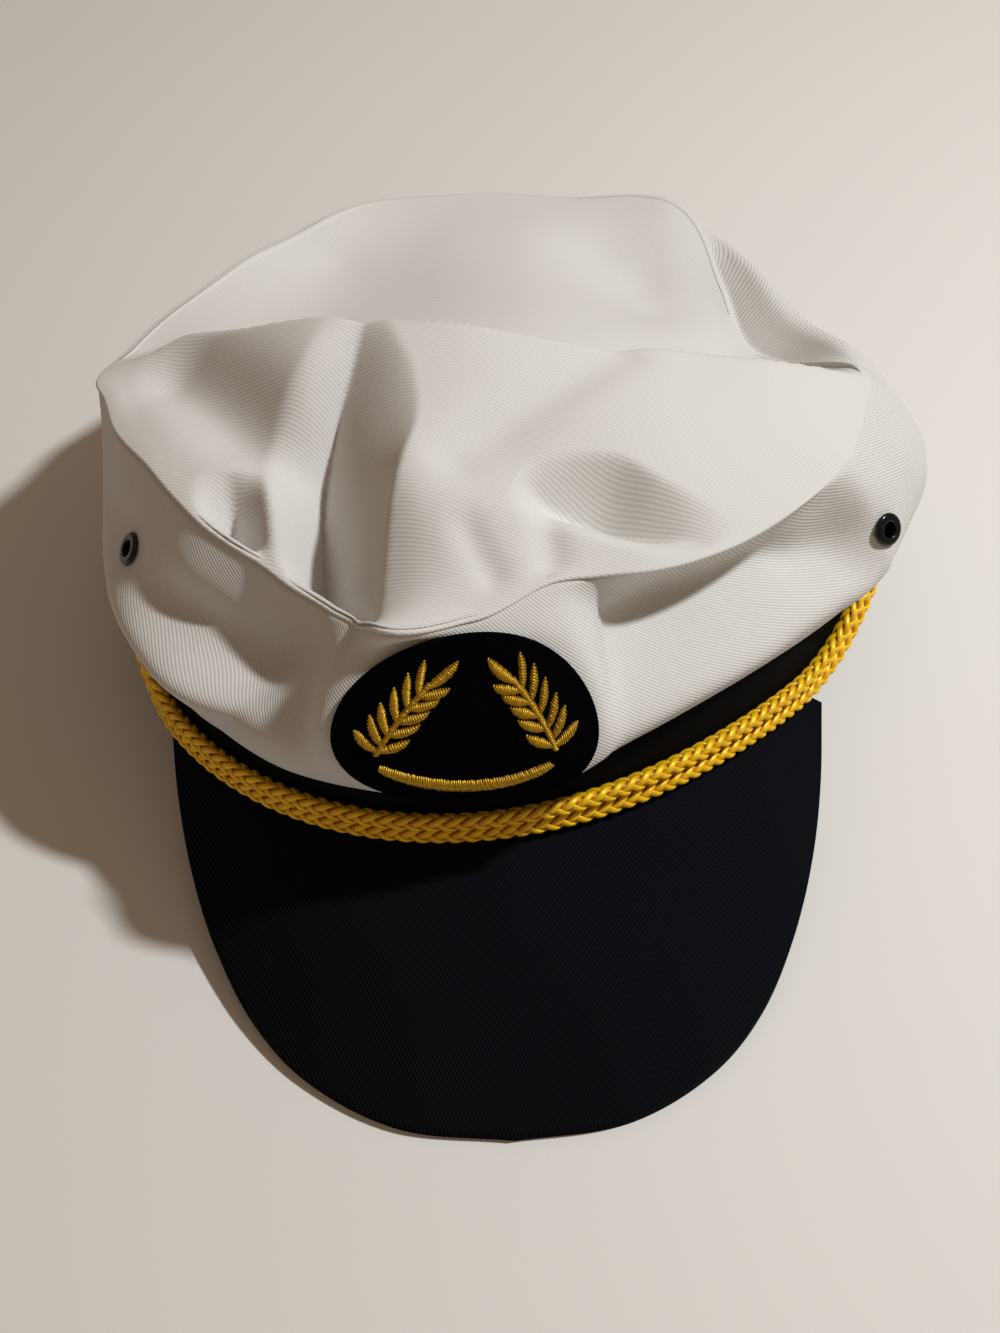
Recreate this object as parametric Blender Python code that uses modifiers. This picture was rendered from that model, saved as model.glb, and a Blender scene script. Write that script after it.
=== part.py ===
"""A soft sailor cap lying on a table: slumped cloth crown, head band, peak, cord and badge.

Units are metres, +Z is up and the wearer's front is -Y.  Angles go round the head band from
the front (0 degrees) towards +X (90 degrees, the cap's side seen on the right from in front).
"""
import math

import bmesh
import bpy
import numpy as np
from mathutils import Matrix, Vector

MM = 0.001                     # the tables below are in millimetres
GAP = 0.3 * MM                 # clearance between pieces that touch

# Head band: a flat strip bent into a ring, on the table behind and lifted in front.
BAND_CENTRE = (-5.43 * MM, 31.9 * MM)     # puts the whole cap's box over the origin
BAND_HALF_WIDTH = 93 * MM
BAND_HALF_LENGTH = 97 * MM
BAND_HEIGHT = 28.5 * MM
BAND_WALL = 2.6 * MM
BAND_FRONT_LIFT = 25.2 * MM    # the bottom edge's height over the table at the front
BAND_LIFT_END = 110            # degrees from the front where the band meets the table
BAND_LIFT_POWER = 1.25
BAND_WAVES = (                 # how the soft ring departs from an ellipse
    # waves a turn, cosine mm, sine mm
    (1, 1.2, 0.2),
    (2, -2.8, -2.4),
    (3, 2.5, -3.5),
)

# Peak: a stiff sheet ruled from the band's foot to its outline, slightly arched.
PEAK_THICKNESS = 3.0 * MM
PEAK_SEAT = 3.3 * MM           # its upper face at the root, above the band's bottom edge
PEAK_CORNER_ANGLES = (-53.0, 55.5)
PEAK_ARCH = 3.0 * MM           # how far the sheet bows up between root and outline
PEAK_TURN = math.radians(0.3)  # the outline sits turned a little on the soft band
PEAK_OUTLINE = (
    # share from corner to tip, half width mm, forward of the band's centre mm, up mm
    (0.00, 80.0, 55.5, 18.6),
    (0.14, 77.5, 76.0, 13.6),
    (0.28, 73.6, 94.5, 9.4),
    (0.42, 67.4, 113.0, 6.4),
    (0.56, 57.9, 131.8, 4.2),
    (0.70, 45.0, 146.5, 3.2),
    (0.85, 24.9, 158.0, 3.04),
    (1.00, 0.0, 161.3, 3.02),
)
PEAK_MIDDLE = (0.4 * MM, -105 * MM)     # the outline turns about this spot of its middle line

# Cord: two strands on the band above the peak, ending under the crown at the sides.
CORD_DIAMETER = 4.0 * MM
CORD_PITCH = 4.4 * MM          # height between the strands
CORD_STAND = 0.8 * MM          # the lower strand stands off the band this much on the right
CORD_RISE = 20 * MM            # how far the ends climb the band
CORD_CLIMB = ((50, 68), (51, 74))        # degrees from the front, left and right
CORD_SPAN = (-75.0, 80.0)      # degrees
CORD_END_BELOW = 3.5 * MM      # the ends stop this far below the band's top edge

# Crown.  Each row is a section through the side wall, from the top panel's seam down:
# the seam, the shoulder under it and the belly over the band.
CLOTH = 1.3 * MM
CROWN_SECTIONS = (
    # angle, seam out, seam up, shoulder out, shoulder up, belly out past the band's face, belly up
    # over the band's top edge, sag below that edge, bow between seam and shoulder (mm)
    (-174.0, 92.0, 63.0, 96.5, 55.5, 5.0, 13.0, 0.0, 0.0),
    (-160.0, 89.5, 66.5, 95.5, 57.5, 3.5, 13.0, 0.0, 0.0),
    (-149.0, 84.3, 70.2, 92.5, 60.0, 2.5, 14.0, 0.0, 0.0),
    (-131.0, 81.4, 72.8, 88.5, 63.0, 2.0, 15.0, 0.0, 0.0),
    (-117.0, 82.2, 74.2, 88.0, 65.5, 2.5, 15.5, 0.0, 0.0),
    (-104.0, 87.3, 75.0, 91.5, 67.5, 3.0, 16.0, 0.0, 0.0),
    (-94.0, 92.6, 76.4, 94.6, 68.2, 3.4, 16.0, 0.0, 0.0),
    (-90.0, 95.0, 77.0, 95.4, 68.5, 3.6, 16.0, 0.0, 0.0),
    (-86.0, 92.7, 77.6, 94.9, 66.5, 4.0, 15.0, 0.0, 0.0),
    (-78.0, 90.6, 79.0, 94.2, 64.0, 5.0, 13.0, 0.0, 0.0),
    (-67.0, 86.4, 82.0, 93.8, 64.0, 7.0, 12.0, 1.0, 0.5),
    (-58.0, 84.9, 82.0, 96.0, 63.5, 8.5, 12.5, 2.5, 0.0),
    (-51.0, 83.8, 80.8, 92.0, 61.5, 8.5, 8.0, 3.5, 2.4),
    (-46.0, 82.0, 79.0, 89.0, 60.0, 8.3, 5.0, 4.2, 1.8),
    (-42.0, 80.3, 77.2, 88.0, 57.5, 7.5, 3.0, 5.0, 0.0),
    (-36.0, 80.1, 75.2, 88.5, 56.0, 6.0, 2.0, 5.4, 0.0),
    (-27.3, 81.9, 75.2, 90.5, 66.0, 5.0, 2.0, 6.0, 0.0),
    (-21.5, 85.9, 78.2, 95.0, 70.5, 5.0, 2.0, 6.0, 0.0),
    (-18.3, 91.7, 86.0, 96.5, 72.5, 5.0, 2.5, 6.0, 0.0),
    (-5.0, 85.3, 85.5, 93.2, 73.0, 4.5, 3.5, 6.0, 0.0),
    (7.5, 75.4, 86.0, 87.5, 73.5, 5.0, 3.5, 5.0, 0.0),
    (15.5, 75.0, 85.2, 75.0, 71.0, 4.5, 3.5, 2.5, 0.0),
    (24.5, 77.3, 84.6, 70.5, 68.5, 3.5, 4.5, 1.0, -1.0),
    (40.0, 79.4, 82.2, 72.0, 67.0, 3.5, 6.0, 0.3, -1.0),
    (50.0, 81.0, 80.9, 75.0, 65.5, 3.8, 7.5, 0.6, -0.5),
    (57.0, 82.6, 80.0, 79.5, 62.0, 5.0, 8.0, 1.2, -0.5),
    (63.0, 84.6, 79.3, 86.0, 61.0, 7.5, 9.0, 2.0, -1.0),
    (68.0, 86.3, 78.7, 95.0, 64.0, 8.0, 14.0, 2.6, 0.5),
    (76.0, 87.5, 77.8, 97.0, 69.0, 8.2, 18.0, 3.0, 0.0),
    (82.0, 88.7, 77.8, 98.5, 70.0, 8.8, 21.5, 2.4, 0.0),
    (88.3, 90.1, 78.0, 97.0, 69.8, 6.3, 23.0, 1.5, 0.0),
    (101.0, 82.3, 67.0, 88.5, 70.2, 1.5, 23.0, 0.0, 0.0),
    (112.0, 73.9, 60.5, 84.3, 66.0, -1.0, 19.5, 0.0, 0.0),
    (131.0, 82.8, 61.5, 90.8, 64.0, 1.0, 17.0, 0.0, 0.0),
    (148.0, 99.8, 65.0, 101.5, 59.0, 5.5, 15.0, 0.0, 0.0),
    (166.0, 93.5, 62.5, 97.0, 56.0, 6.0, 13.0, 0.0, 0.0),
)
# Heights of the top panel inside its seam.
TOP_HEIGHTS = (
    # across, along (front is negative), up (mm)
    (-72, 7, 87), (-57, 1, 93), (-41, -3, 98), (-24, -7, 101), (-8, -9, 101),
    (10, -11, 99), (33, -11, 95), (47, -9, 91), (63, -6, 87), (78, -3, 82),
    (-17, -32, 99), (-20, -58, 94), (-44, -40, 93), (-62, -30, 87), (2, -45, 95),
    (14, -58, 91), (36, -45, 91), (60, -30, 86),
    (-44, 30, 70), (-15, 32, 73), (12, 30, 75), (44, 24, 70), (-40, 58, 66),
    (-10, 64, 68), (25, 62, 66), (40, 52, 63), (58, 22, 64),
)
# The ridge: the panel drops behind this line, which runs from side to side.
RIDGE_LINE = (
    # across, along, drop behind it, length of the drop (mm)
    (-95, 4, 0, 8), (-84, 6, 6, 8), (-75, 8, 10, 10), (-57, 1, 17, 15), (-24, -7, 21, 18),
    (10, -11, 19, 18), (47, -8, 16, 16), (78, -3, 11, 12), (90, -2, 0, 8),
)
RIDGE_EDGE = 1.5               # how much steeper the drop is where it starts
# Folds of the top panel: each falls from its crest to its foot, then comes up again.
TOP_FOLDS = (
    # turn in degrees, then rows: along it, crest, foot, depth, rise beyond the foot, softness
    (0.0, (                                   # the long pleat
        (-88.0, -26.5, -36.0, 6.0, 12.0, 1.0),
        (-76.0, -26.2, -38.0, 12.0, 12.0, 1.0),
        (-68.0, -25.6, -39.2, 17.0, 11.0, 1.0),
        (-58.0, -24.4, -39.8, 22.0, 11.0, 1.0),
        (-48.0, -22.0, -40.3, 23.0, 12.0, 1.0),
        (-37.0, -18.5, -40.0, 20.5, 13.0, 1.2),
        (-23.0, -19.0, -36.5, 14.0, 13.0, 1.4),
        (-13.0, -22.5, -33.0, 7.0, 11.0, 1.4),
        (-5.0, -25.0, -30.5, 1.5, 10.0, 1.4),
        (0.0, -26.0, -29.0, 0.0, 10.0, 1.4),
    )),
    (0.0, (                                   # the hooked pleat beside it
        (-68.0, -51.6, -58.5, 9.0, 9.0, 1.0),
        (-60.0, -51.4, -59.5, 13.5, 9.0, 1.0),
        (-53.0, -51.4, -60.2, 14.0, 9.0, 1.0),
        (-46.0, -52.0, -60.5, 10.0, 9.0, 1.1),
        (-38.0, -54.0, -60.5, 0.0, 8.0, 1.5),
    )),
    (62.0, (                                  # the pocket on the right
        (-76.0, -24.0, -33.0, 0.0, 9.0, 1.3),
        (-64.0, -25.0, -34.0, 4.0, 9.0, 1.3),
        (-54.0, -26.5, -36.5, 10.5, 10.0, 1.1),
        (-43.0, -27.0, -38.5, 14.0, 11.0, 1.1),
        (-35.0, -31.5, -41.5, 9.0, 10.0, 1.2),
        (-27.0, -38.0, -44.0, 0.0, 8.0, 1.5),
    )),
)
FOLD_CLIMB = 1.6               # how much steeper the rise is at the foot
FOLD_END = 0.12                # share of the radius over which the folds end at the seam
# Soft dents of the top panel.
TOP_DENTS = (
    # from across, along; to across, along; half width; depth (mm)
    (-74, -4, -50, -34, 10, 8.0),
    (27, -12, -10, -46, 7, 2.5),
    (8.5, -57, 10.5, -74, 4.0, 1.8),
    (-8, -64, -3, -74, 3.5, 1.5),
    (30, 62, 44, 44, 13, 2.5),
)
# Folds of the side wall, from its crest towards smaller angles.
SIDE_FOLDS = (
    # rows down the wall: share from seam to lip, crest and foot angle, depth mm, rise, softness
    ((0.0, -18.3, -30.0, 0.0, 12.0, 1.3), (0.25, -21.0, -31.0, 2.5, 12.0, 1.3),
     (0.5, -24.0, -34.0, 4.5, 12.0, 1.3), (0.75, -25.2, -36.0, 4.0, 12.0, 1.3),
     (1.0, -26.5, -38.0, 1.0, 12.0, 1.3)),
)
# Creases of the side wall: sharp crests that run down from the seam.
SIDE_CREASES = (
    # angle at the seam, angle at the band, half width in degrees, height mm
    (-18.3, -26.5, 4.0, 2.2),
    (8.0, 12.5, 4.0, 2.6),
    (68.0, 66.0, 2.0, 1.2),
    (97.0, 84.0, 5.0, 2.5),
    (-122.0, -128.0, 6.0, 2.0),
    (172.0, 166.0, 6.0, 2.0),
)
SIDE_STEPS = (2, 1, 3, 2)      # rows from seam to halfway, to shoulder, to belly and to the lip
SIDE_SHARES = (0.0, 0.19, 0.375, 0.75, 1.0)    # how far down the wall those places are
LIP_OUT = 1.6 * MM             # the lip: where the cloth turns under, outside the band
LIP_UP = 1.0 * MM
HEM_FOLD = (
    # from the lip to the band's top edge: out past its face, up over its edge, share of the sag
    (0.9, 0.9, 0.75),
    (0.5, 0.8, 0.0),
)
HEM_REST = 0.5 * MM            # the cloth lies this far over the band's top edge
HEM_TUCK = 6.0 * MM            # how far the side wall reaches down inside the band
SEAM_STEP = 2.5 * MM           # the side wall's upper edge starts this far from the seam
SEAM_DIP = 0.5                 # the least part of that step that goes down
SEAM_UNDER = 1.5               # how much longer it is where the wall goes in under the top
COLUMN_STEPS = (
    # from angle, to angle, columns: the front is finer, and one column runs along the long pleat
    (-180.0, -68.3, 17),
    (-68.3, 36.7, 30),
    (36.7, 180.0, 22),
)
TOP_RINGS = 12

# Eyelets in the side wall.
EYELETS = (
    # name, angle, up mm
    ("eyelet_left", -63.0, 63.8),
    ("eyelet_right", 68.5, 60.3),
)
EYELET_FLANGE = 4.0 * MM       # radii
EYELET_BARREL = 2.7 * MM
EYELET_HOLE = 1.9 * MM
EYELET_SEAT = 0.45 * MM        # the flange's back over the cloth
EYELET_RIM = 0.9 * MM          # the flange's height

# Badge: an oval of felt on the front, with raised satin stitch.
BADGE_ANGLE = -4.7
BADGE_UP = 66.3 * MM
BADGE_HALF_WIDTH = 27.7 * MM
BADGE_HALF_HEIGHT = 18.8 * MM
BADGE_SWEEP = 19               # degrees that it reaches each way round the cap
# How far out the cloth behind it is: middle, sideways, sideways bend, slope, bend, curl, twist (mm).
BADGE_SEAT = (100.85, -4.8, 0.5, -13.1, -5.7, 4.4, -2.1)
BADGE_EDGE = 1.12              # the cloth leaves the badge's face between these shares of its size
BADGE_HOLD_END = 1.35
BADGE_SEAM_HOLD = 0.12         # and from this share down the wall
BADGE_STAND = 1.9 * MM         # the felt's back over the cloth: its flat facets clear the wall's
BADGE_THICKNESS = 1.6 * MM
BADGE_TURN = math.radians(-1)      # of the stitching
OVAL_TURN = math.radians(-3.5)     # of the felt's outline against the stitching
BADGE_LEAN = 0.94              # height gained for each millimetre up the badge
BADGE_TILT = math.radians(32)  # how far its top leans back
RELIEF = 0.9 * MM              # height of the satin stitch over the felt
# Left branch, in mm from the badge's middle: foot, tip, bow and width of the stem.
LAUREL_STEM = ((-17.9, -3.4), (-9.0, 9.9), 0.9, 1.0)
LAUREL_LEAVES = (
    # share up the stem, direction of the outer and of the inner leaf if there is one (degrees)
    (0.04, 146, 24),
    (0.13, 122, None),
    (0.27, 114, 20),
    (0.46, 107, 18),
    (0.65, 100, 15),
    (0.83, 88, 11),
)
LAUREL_TIP = 36
LEAF_LENGTH = 6.2
LEAF_WIDTH = 1.8
# Arc along the badge's lower edge, in mm.
BAR_RADIUS = 40.0
BAR_CENTRE_UP = 29.6
BAR_HALF_ANGLE = 25
BAR_WIDTH = 2.8


def slope_row(rows, index):
    """Slope of every column at a row of a table, from its two neighbours."""
    last = len(rows) - 1
    before, here, after = rows[max(index - 1, 0)], rows[index], rows[min(index + 1, last)]
    slopes = []
    for column in range(1, len(here)):
        left, right = here[0] - before[0], after[0] - here[0]
        rise_left = (here[column] - before[column]) / left if left else 0.0
        rise_right = (after[column] - here[column]) / right if right else 0.0
        if not left or not right:
            slopes.append(rise_left + rise_right)
        else:
            slopes.append((rise_left * right + rise_right * left) / (left + right))
    return slopes


def read_table(rows, key):
    """A table's other columns at any value of its first, on a smooth curve through the rows."""
    key = min(max(key, rows[0][0]), rows[-1][0])
    index = max(i for i in range(len(rows) - 1) if rows[i][0] <= key)
    start, end = rows[index], rows[index + 1]
    span = end[0] - start[0]
    share = (key - start[0]) / span
    first, second = slope_row(rows, index), slope_row(rows, index + 1)
    hold, turn = share * share * (3 - 2 * share), share * (share - 1)
    return [
        start[c + 1] * (1 - hold) + end[c + 1] * hold
        + span * turn * (first[c] * (share - 1) + second[c] * share)
        for c in range(len(first))
    ]


def closed_table(rows):
    """A table round the cap with two rows repeated at each end, so that it has no seam."""
    before = [(row[0] - 360, *row[1:]) for row in rows[-2:]]
    after = [(row[0] + 360, *row[1:]) for row in rows[:2]]
    return [*before, *rows, *after]


def ease(share):
    """0 to 1 with level ends."""
    share = min(max(share, 0.0), 1.0)
    return share * share * (3 - 2 * share)


def polar(angle, out, up):
    turn = math.radians(angle)
    return Vector((out * math.sin(turn), -out * math.cos(turn), up))


def band_out(angle):
    """Distance of the band's outer face from the cap's axis."""
    turn = math.radians(angle)
    out = 1 / math.hypot(math.sin(turn) / BAND_HALF_WIDTH, math.cos(turn) / BAND_HALF_LENGTH)
    for waves, cosine, sine in BAND_WAVES:
        out += (cosine * math.cos(waves * turn) + sine * math.sin(waves * turn)) * MM
    return out


def band_foot(angle):
    """Height of the band's bottom edge over the table."""
    end = math.cos(math.radians(BAND_LIFT_END))
    share = max(0.0, (math.cos(math.radians(angle)) - end) / (1 - end))
    return BAND_FRONT_LIFT * share ** BAND_LIFT_POWER


def fold_drop(side, along, rows):
    """How far a fold has dropped: down from its crest to its foot, then up again."""
    crest, foot, depth, rise, softness = read_table(rows, along)
    share = (crest - side) / (crest - foot)
    if share < 1:
        return depth * max(share, 0.0) ** softness
    return depth * (1 - min((foot - side) / rise, 1.0)) ** FOLD_CLIMB


def dent_depth(x, y, row):
    x0, y0, x1, y1, half_width, depth = row
    share = ((x - x0) * (x1 - x0) + (y - y0) * (y1 - y0)) / ((x1 - x0) ** 2 + (y1 - y0) ** 2)
    share = min(max(share, 0.0), 1.0)
    distance = math.hypot(x - x0 - (x1 - x0) * share, y - y0 - (y1 - y0) * share)
    return depth * math.exp(-(distance / half_width) ** 2)


def ridge_drop(x, y):
    """How far the panel has dropped behind the ridge at a point, all in mm."""
    line, drop, length = read_table(RIDGE_LINE, x)
    share = min(max((y - line) / length, 0.0), 1.0)
    return drop * (1 - (1 - share) ** RIDGE_EDGE)


def plate_kernel(spots, x, y):
    squares = (spots[:, 0] - x) ** 2 + (spots[:, 1] - y) ** 2
    return squares * np.log(squares + 1e-12)


def bend_plate(spots):
    """A thin plate bent through heights: the weights of its spots and its slant."""
    count = len(spots)
    matrix = np.zeros((count + 3, count + 3))
    for i, (x, y, _) in enumerate(spots):
        matrix[i, :count] = plate_kernel(spots, x, y)
    flat = np.column_stack([np.ones(count), spots[:, :2]])
    matrix[:count, count:] = flat
    matrix[count:, :count] = flat.T
    return np.linalg.solve(matrix, np.concatenate([spots[:, 2], np.zeros(3)]))


SECTIONS = closed_table(CROWN_SECTIONS)


def top_spots():
    """The heights that the top panel's plate goes through, seam and inside, in mm."""
    spots = list(TOP_HEIGHTS)
    for angle, seam_out, seam_up, *_ in CROWN_SECTIONS:
        point = polar(angle, seam_out, seam_up)
        spots.append(tuple(point))
    return np.array([(x, y, up + ridge_drop(x, y)) for x, y, up in spots])


TOP_SPOTS = top_spots()
TOP_PLATE = bend_plate(TOP_SPOTS)


def top_up(x, y):
    """Height of the top panel's outer face over a point, all in mm."""
    count = len(TOP_SPOTS)
    up = plate_kernel(TOP_SPOTS, x, y) @ TOP_PLATE[:count]
    up += TOP_PLATE[count] + TOP_PLATE[count + 1] * x + TOP_PLATE[count + 2] * y
    up -= ridge_drop(x, y)
    rim = read_table(SECTIONS, math.degrees(math.atan2(x, -y)))[0]
    drop = sum(dent_depth(x, y, row) for row in TOP_DENTS)
    for turn, rows in TOP_FOLDS:
        cosine, sine = math.cos(math.radians(turn)), math.sin(math.radians(turn))
        drop += fold_drop(x * cosine + y * sine, y * cosine - x * sine, rows)
    return up - drop * ease((1 - math.hypot(x, y) / rim) / FOLD_END)


def seam_point(angle):
    """The seam between the top panel and the side wall."""
    seam_out = read_table(SECTIONS, angle)[0]
    point = polar(angle, seam_out, 0)
    return Vector((point.x, point.y, top_up(point.x, point.y))) * MM


def smooth_path(points, counts):
    """Points on a smooth curve through the given ones, counts between each pair."""
    lengths = [0.0]
    for a, b in zip(points, points[1:]):
        lengths.append(lengths[-1] + (Vector(b) - Vector(a)).length)
    rows = [(length, *point) for length, point in zip(lengths, points)]
    path = []
    for index, count in enumerate(counts):
        for step in range(count):
            share = step / count
            path.append(read_table(rows, lengths[index] * (1 - share) + lengths[index + 1] * share))
    path.append(list(points[-1]))
    return path


def crease_out(angle, share):
    """How far the side wall's creases and folds push it out, share from seam to lip."""
    push = 0.0
    for seam_angle, band_angle, half_width, height in SIDE_CREASES:
        offset = (angle - seam_angle - (band_angle - seam_angle) * share + 180) % 360 - 180
        push += height * math.exp(-abs(offset) / half_width)
    push *= math.sin(math.pi * share) ** 0.7
    return (push - sum(fold_drop(angle, share, rows) for rows in SIDE_FOLDS)) * MM


def badge_seat(angle, up):
    """How far out the cloth behind the badge is."""
    a, u = (angle - BADGE_ANGLE) / BADGE_SWEEP, (up - BADGE_UP) / BADGE_HALF_HEIGHT
    terms = (1, a, a * a, u, u * u, u ** 3, a * u)
    return sum(weight * term for weight, term in zip(BADGE_SEAT, terms)) * MM


def badge_hold(angle, up):
    """1 behind the badge, falling to 0 just outside it."""
    across = math.radians(angle - BADGE_ANGLE) * band_out(BADGE_ANGLE) / BADGE_HALF_WIDTH
    upward = (up - BADGE_UP) / BADGE_LEAN / BADGE_HALF_HEIGHT
    return ease((BADGE_HOLD_END - math.hypot(across, upward)) / (BADGE_HOLD_END - BADGE_EDGE))


def side_section(angle):
    """The side wall's outer face at an angle, (out, up) from the seam down to the hem."""
    row = [value * MM for value in read_table(SECTIONS, angle)]
    _, _, shoulder_out, shoulder_up, belly_out, belly_up, sag, bow = row
    seam = seam_point(angle)
    seam_out = math.hypot(seam.x, seam.y)
    step = Vector((shoulder_out - seam_out, shoulder_up - seam.z)).normalized()
    fall = min(step.y, -SEAM_DIP)
    away = math.copysign(math.sqrt(1 - fall * fall), step.x)
    length = SEAM_STEP * (1 + SEAM_UNDER * max(-away, 0.0))
    start = (seam_out + away * length, seam.z + fall * length)
    halfway = ((start[0] + shoulder_out) / 2 + bow, (start[1] + shoulder_up) / 2)
    edge, top = band_out(angle), band_foot(angle) + BAND_HEIGHT
    lip = (edge + LIP_OUT + sag / 2, top + LIP_UP - sag)
    belly = (edge + belly_out, top + belly_up)
    path = smooth_path([start, halfway, (shoulder_out, shoulder_up), belly, lip], SIDE_STEPS)
    shares = [SIDE_SHARES[-1]]
    for count, first, last in reversed(list(zip(SIDE_STEPS, SIDE_SHARES, SIDE_SHARES[1:]))):
        shares = [first + (last - first) * step / count for step in range(count)] + shares
    section = []
    for (out, up), share in zip(path, shares):
        out += crease_out(angle, share)
        hold = badge_hold(angle, up) * ease(share / BADGE_SEAM_HOLD)
        section.append((out + (badge_seat(angle, up) - out) * hold, up))
    for out, up, share in HEM_FOLD:
        section.append((edge + out * MM, top + up * MM - share * sag))
    inside = edge - BAND_WALL - GAP
    section.append((edge - BAND_WALL / 2, top + HEM_REST))
    section.append((inside, top + HEM_REST))
    section.append((inside, top - HEM_TUCK))
    return section


def side_out(angle, up):
    """Distance of the side wall from the axis at a height; its lip's below it, None above it."""
    section = side_section(angle)[:sum(SIDE_STEPS) + 1]
    if up < section[-1][1]:
        return section[-1][0]
    for (out_a, up_a), (out_b, up_b) in zip(section, section[1:]):
        if up_b <= up <= up_a:
            return out_a + (out_b - out_a) * (up_a - up) / (up_a - up_b)
    return None


def make_object(name, mesh, material, collection):
    item = bpy.data.objects.new(name, mesh)
    mesh.materials.append(material)
    collection.objects.link(item)
    item.parent = bpy.data.objects["cap_axis"]
    return item


def make_material(name, color, roughness, metallic=0.0):
    material = bpy.data.materials.new(name)
    material.use_nodes = True
    shader = material.node_tree.nodes["Principled BSDF"]
    shader.inputs["Base Color"].default_value = (*color, 1)
    shader.inputs["Roughness"].default_value = roughness
    shader.inputs["Metallic"].default_value = metallic
    return material


def grid_mesh(name, rows, closed=False, centre=None):
    """A mesh over rows of points; closed joins each row's ends, centre caps the first row."""
    count = len(rows[0])
    points = [tuple(point) for row in rows for point in row]
    faces = []
    for i in range(len(rows) - 1):
        for j in range(count if closed else count - 1):
            k = (j + 1) % count
            faces.append((i * count + j, i * count + k, (i + 1) * count + k, (i + 1) * count + j))
    if centre is not None:
        points.append(tuple(centre))
        faces += [(len(points) - 1, (j + 1) % count, j) for j in range(count)]
    mesh = bpy.data.meshes.new(name)
    mesh.from_pydata(points, [], faces)
    mesh.shade_smooth()
    return mesh


def add_thickness(item, thickness, even=False):
    modifier = item.modifiers.new("Thickness", "SOLIDIFY")
    modifier.thickness = thickness
    modifier.offset = -1
    modifier.use_even_offset = even


def column_angles():
    angles = []
    for first, last, count in COLUMN_STEPS:
        angles += [first + (last - first) * column / count for column in range(count)]
    return angles


def make_crown_top(parts, cloth):
    middle = Vector((0, 5 * MM, 0))
    middle.z = top_up(middle.x / MM, middle.y / MM) * MM
    seam = [seam_point(angle) for angle in column_angles()]
    rings = []
    for ring in range(1, TOP_RINGS + 1):
        share = ring / TOP_RINGS
        points = []
        for edge in seam:
            x, y = middle.x + (edge.x - middle.x) * share, middle.y + (edge.y - middle.y) * share
            points.append((x, y, top_up(x / MM, y / MM) * MM))
        rings.append(points)
    mesh = grid_mesh("crown_top", rings, closed=True, centre=middle)
    mesh.flip_normals()
    item = make_object("crown_top", mesh, cloth, parts)
    add_thickness(item, CLOTH)
    return item


def make_crown_side(parts, cloth, cutters):
    sections = [side_section(angle) for angle in column_angles()]
    rows = []
    for row in range(len(sections[0])):
        rows.append([polar(angle, *section[row]) for angle, section in zip(column_angles(), sections)])
    mesh = grid_mesh("crown_side", rows, closed=True)
    mesh.flip_normals()
    item = make_object("crown_side", mesh, cloth, parts)
    add_thickness(item, CLOTH)
    for cutter in cutters:
        cut = item.modifiers.new("Eyelet hole", "BOOLEAN")
        cut.operation = "DIFFERENCE"
        cut.object = cutter
    return item


def make_band(parts, cloth):
    top = [polar(a, band_out(a), band_foot(a) + BAND_HEIGHT) for a in column_angles()]
    foot = [polar(a, band_out(a), band_foot(a)) for a in column_angles()]
    mesh = grid_mesh("band", [top, foot], closed=True)
    mesh.flip_normals()
    item = make_object("band", mesh, cloth, parts)
    add_thickness(item, BAND_WALL, even=True)


def peak_rows(across_steps=30, run_steps=6):
    rows = []
    for run in range(run_steps + 1):
        share = run / run_steps
        row = []
        for step in range(across_steps + 1):
            across = 2 * step / across_steps - 1
            first, last = PEAK_CORNER_ANGLES
            angle = first + (last - first) * step / across_steps
            root = polar(angle, band_out(angle) + GAP, band_foot(angle) + PEAK_SEAT)
            half_width, forward, up = read_table(PEAK_OUTLINE, 1 - abs(across))
            sign = 1 if across > 0 else -1
            edge = Vector((sign * half_width * MM, -forward * MM - PEAK_MIDDLE[1], up * MM))
            edge.rotate(Matrix.Rotation(PEAK_TURN, 3, "Z"))
            edge += Vector((*PEAK_MIDDLE, 0))
            point = root.lerp(edge, share)
            point.z += PEAK_ARCH * math.sin(math.pi * share) * (1 - abs(across) ** 3)
            row.append(point)
        rows.append(row)
    return rows


def make_peak(parts, cloth):
    mesh = grid_mesh("peak", peak_rows())
    shape = bmesh.new()
    shape.from_mesh(mesh)
    under = bmesh.ops.extrude_face_region(shape, geom=shape.faces[:])["geom"]
    lower = [item for item in under if isinstance(item, bmesh.types.BMVert)]
    bmesh.ops.translate(shape, verts=lower, vec=(0, 0, -PEAK_THICKNESS))
    bmesh.ops.recalc_face_normals(shape, faces=shape.faces[:])
    shape.to_mesh(mesh)
    shape.free()
    make_object("peak", mesh, cloth, parts)


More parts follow.
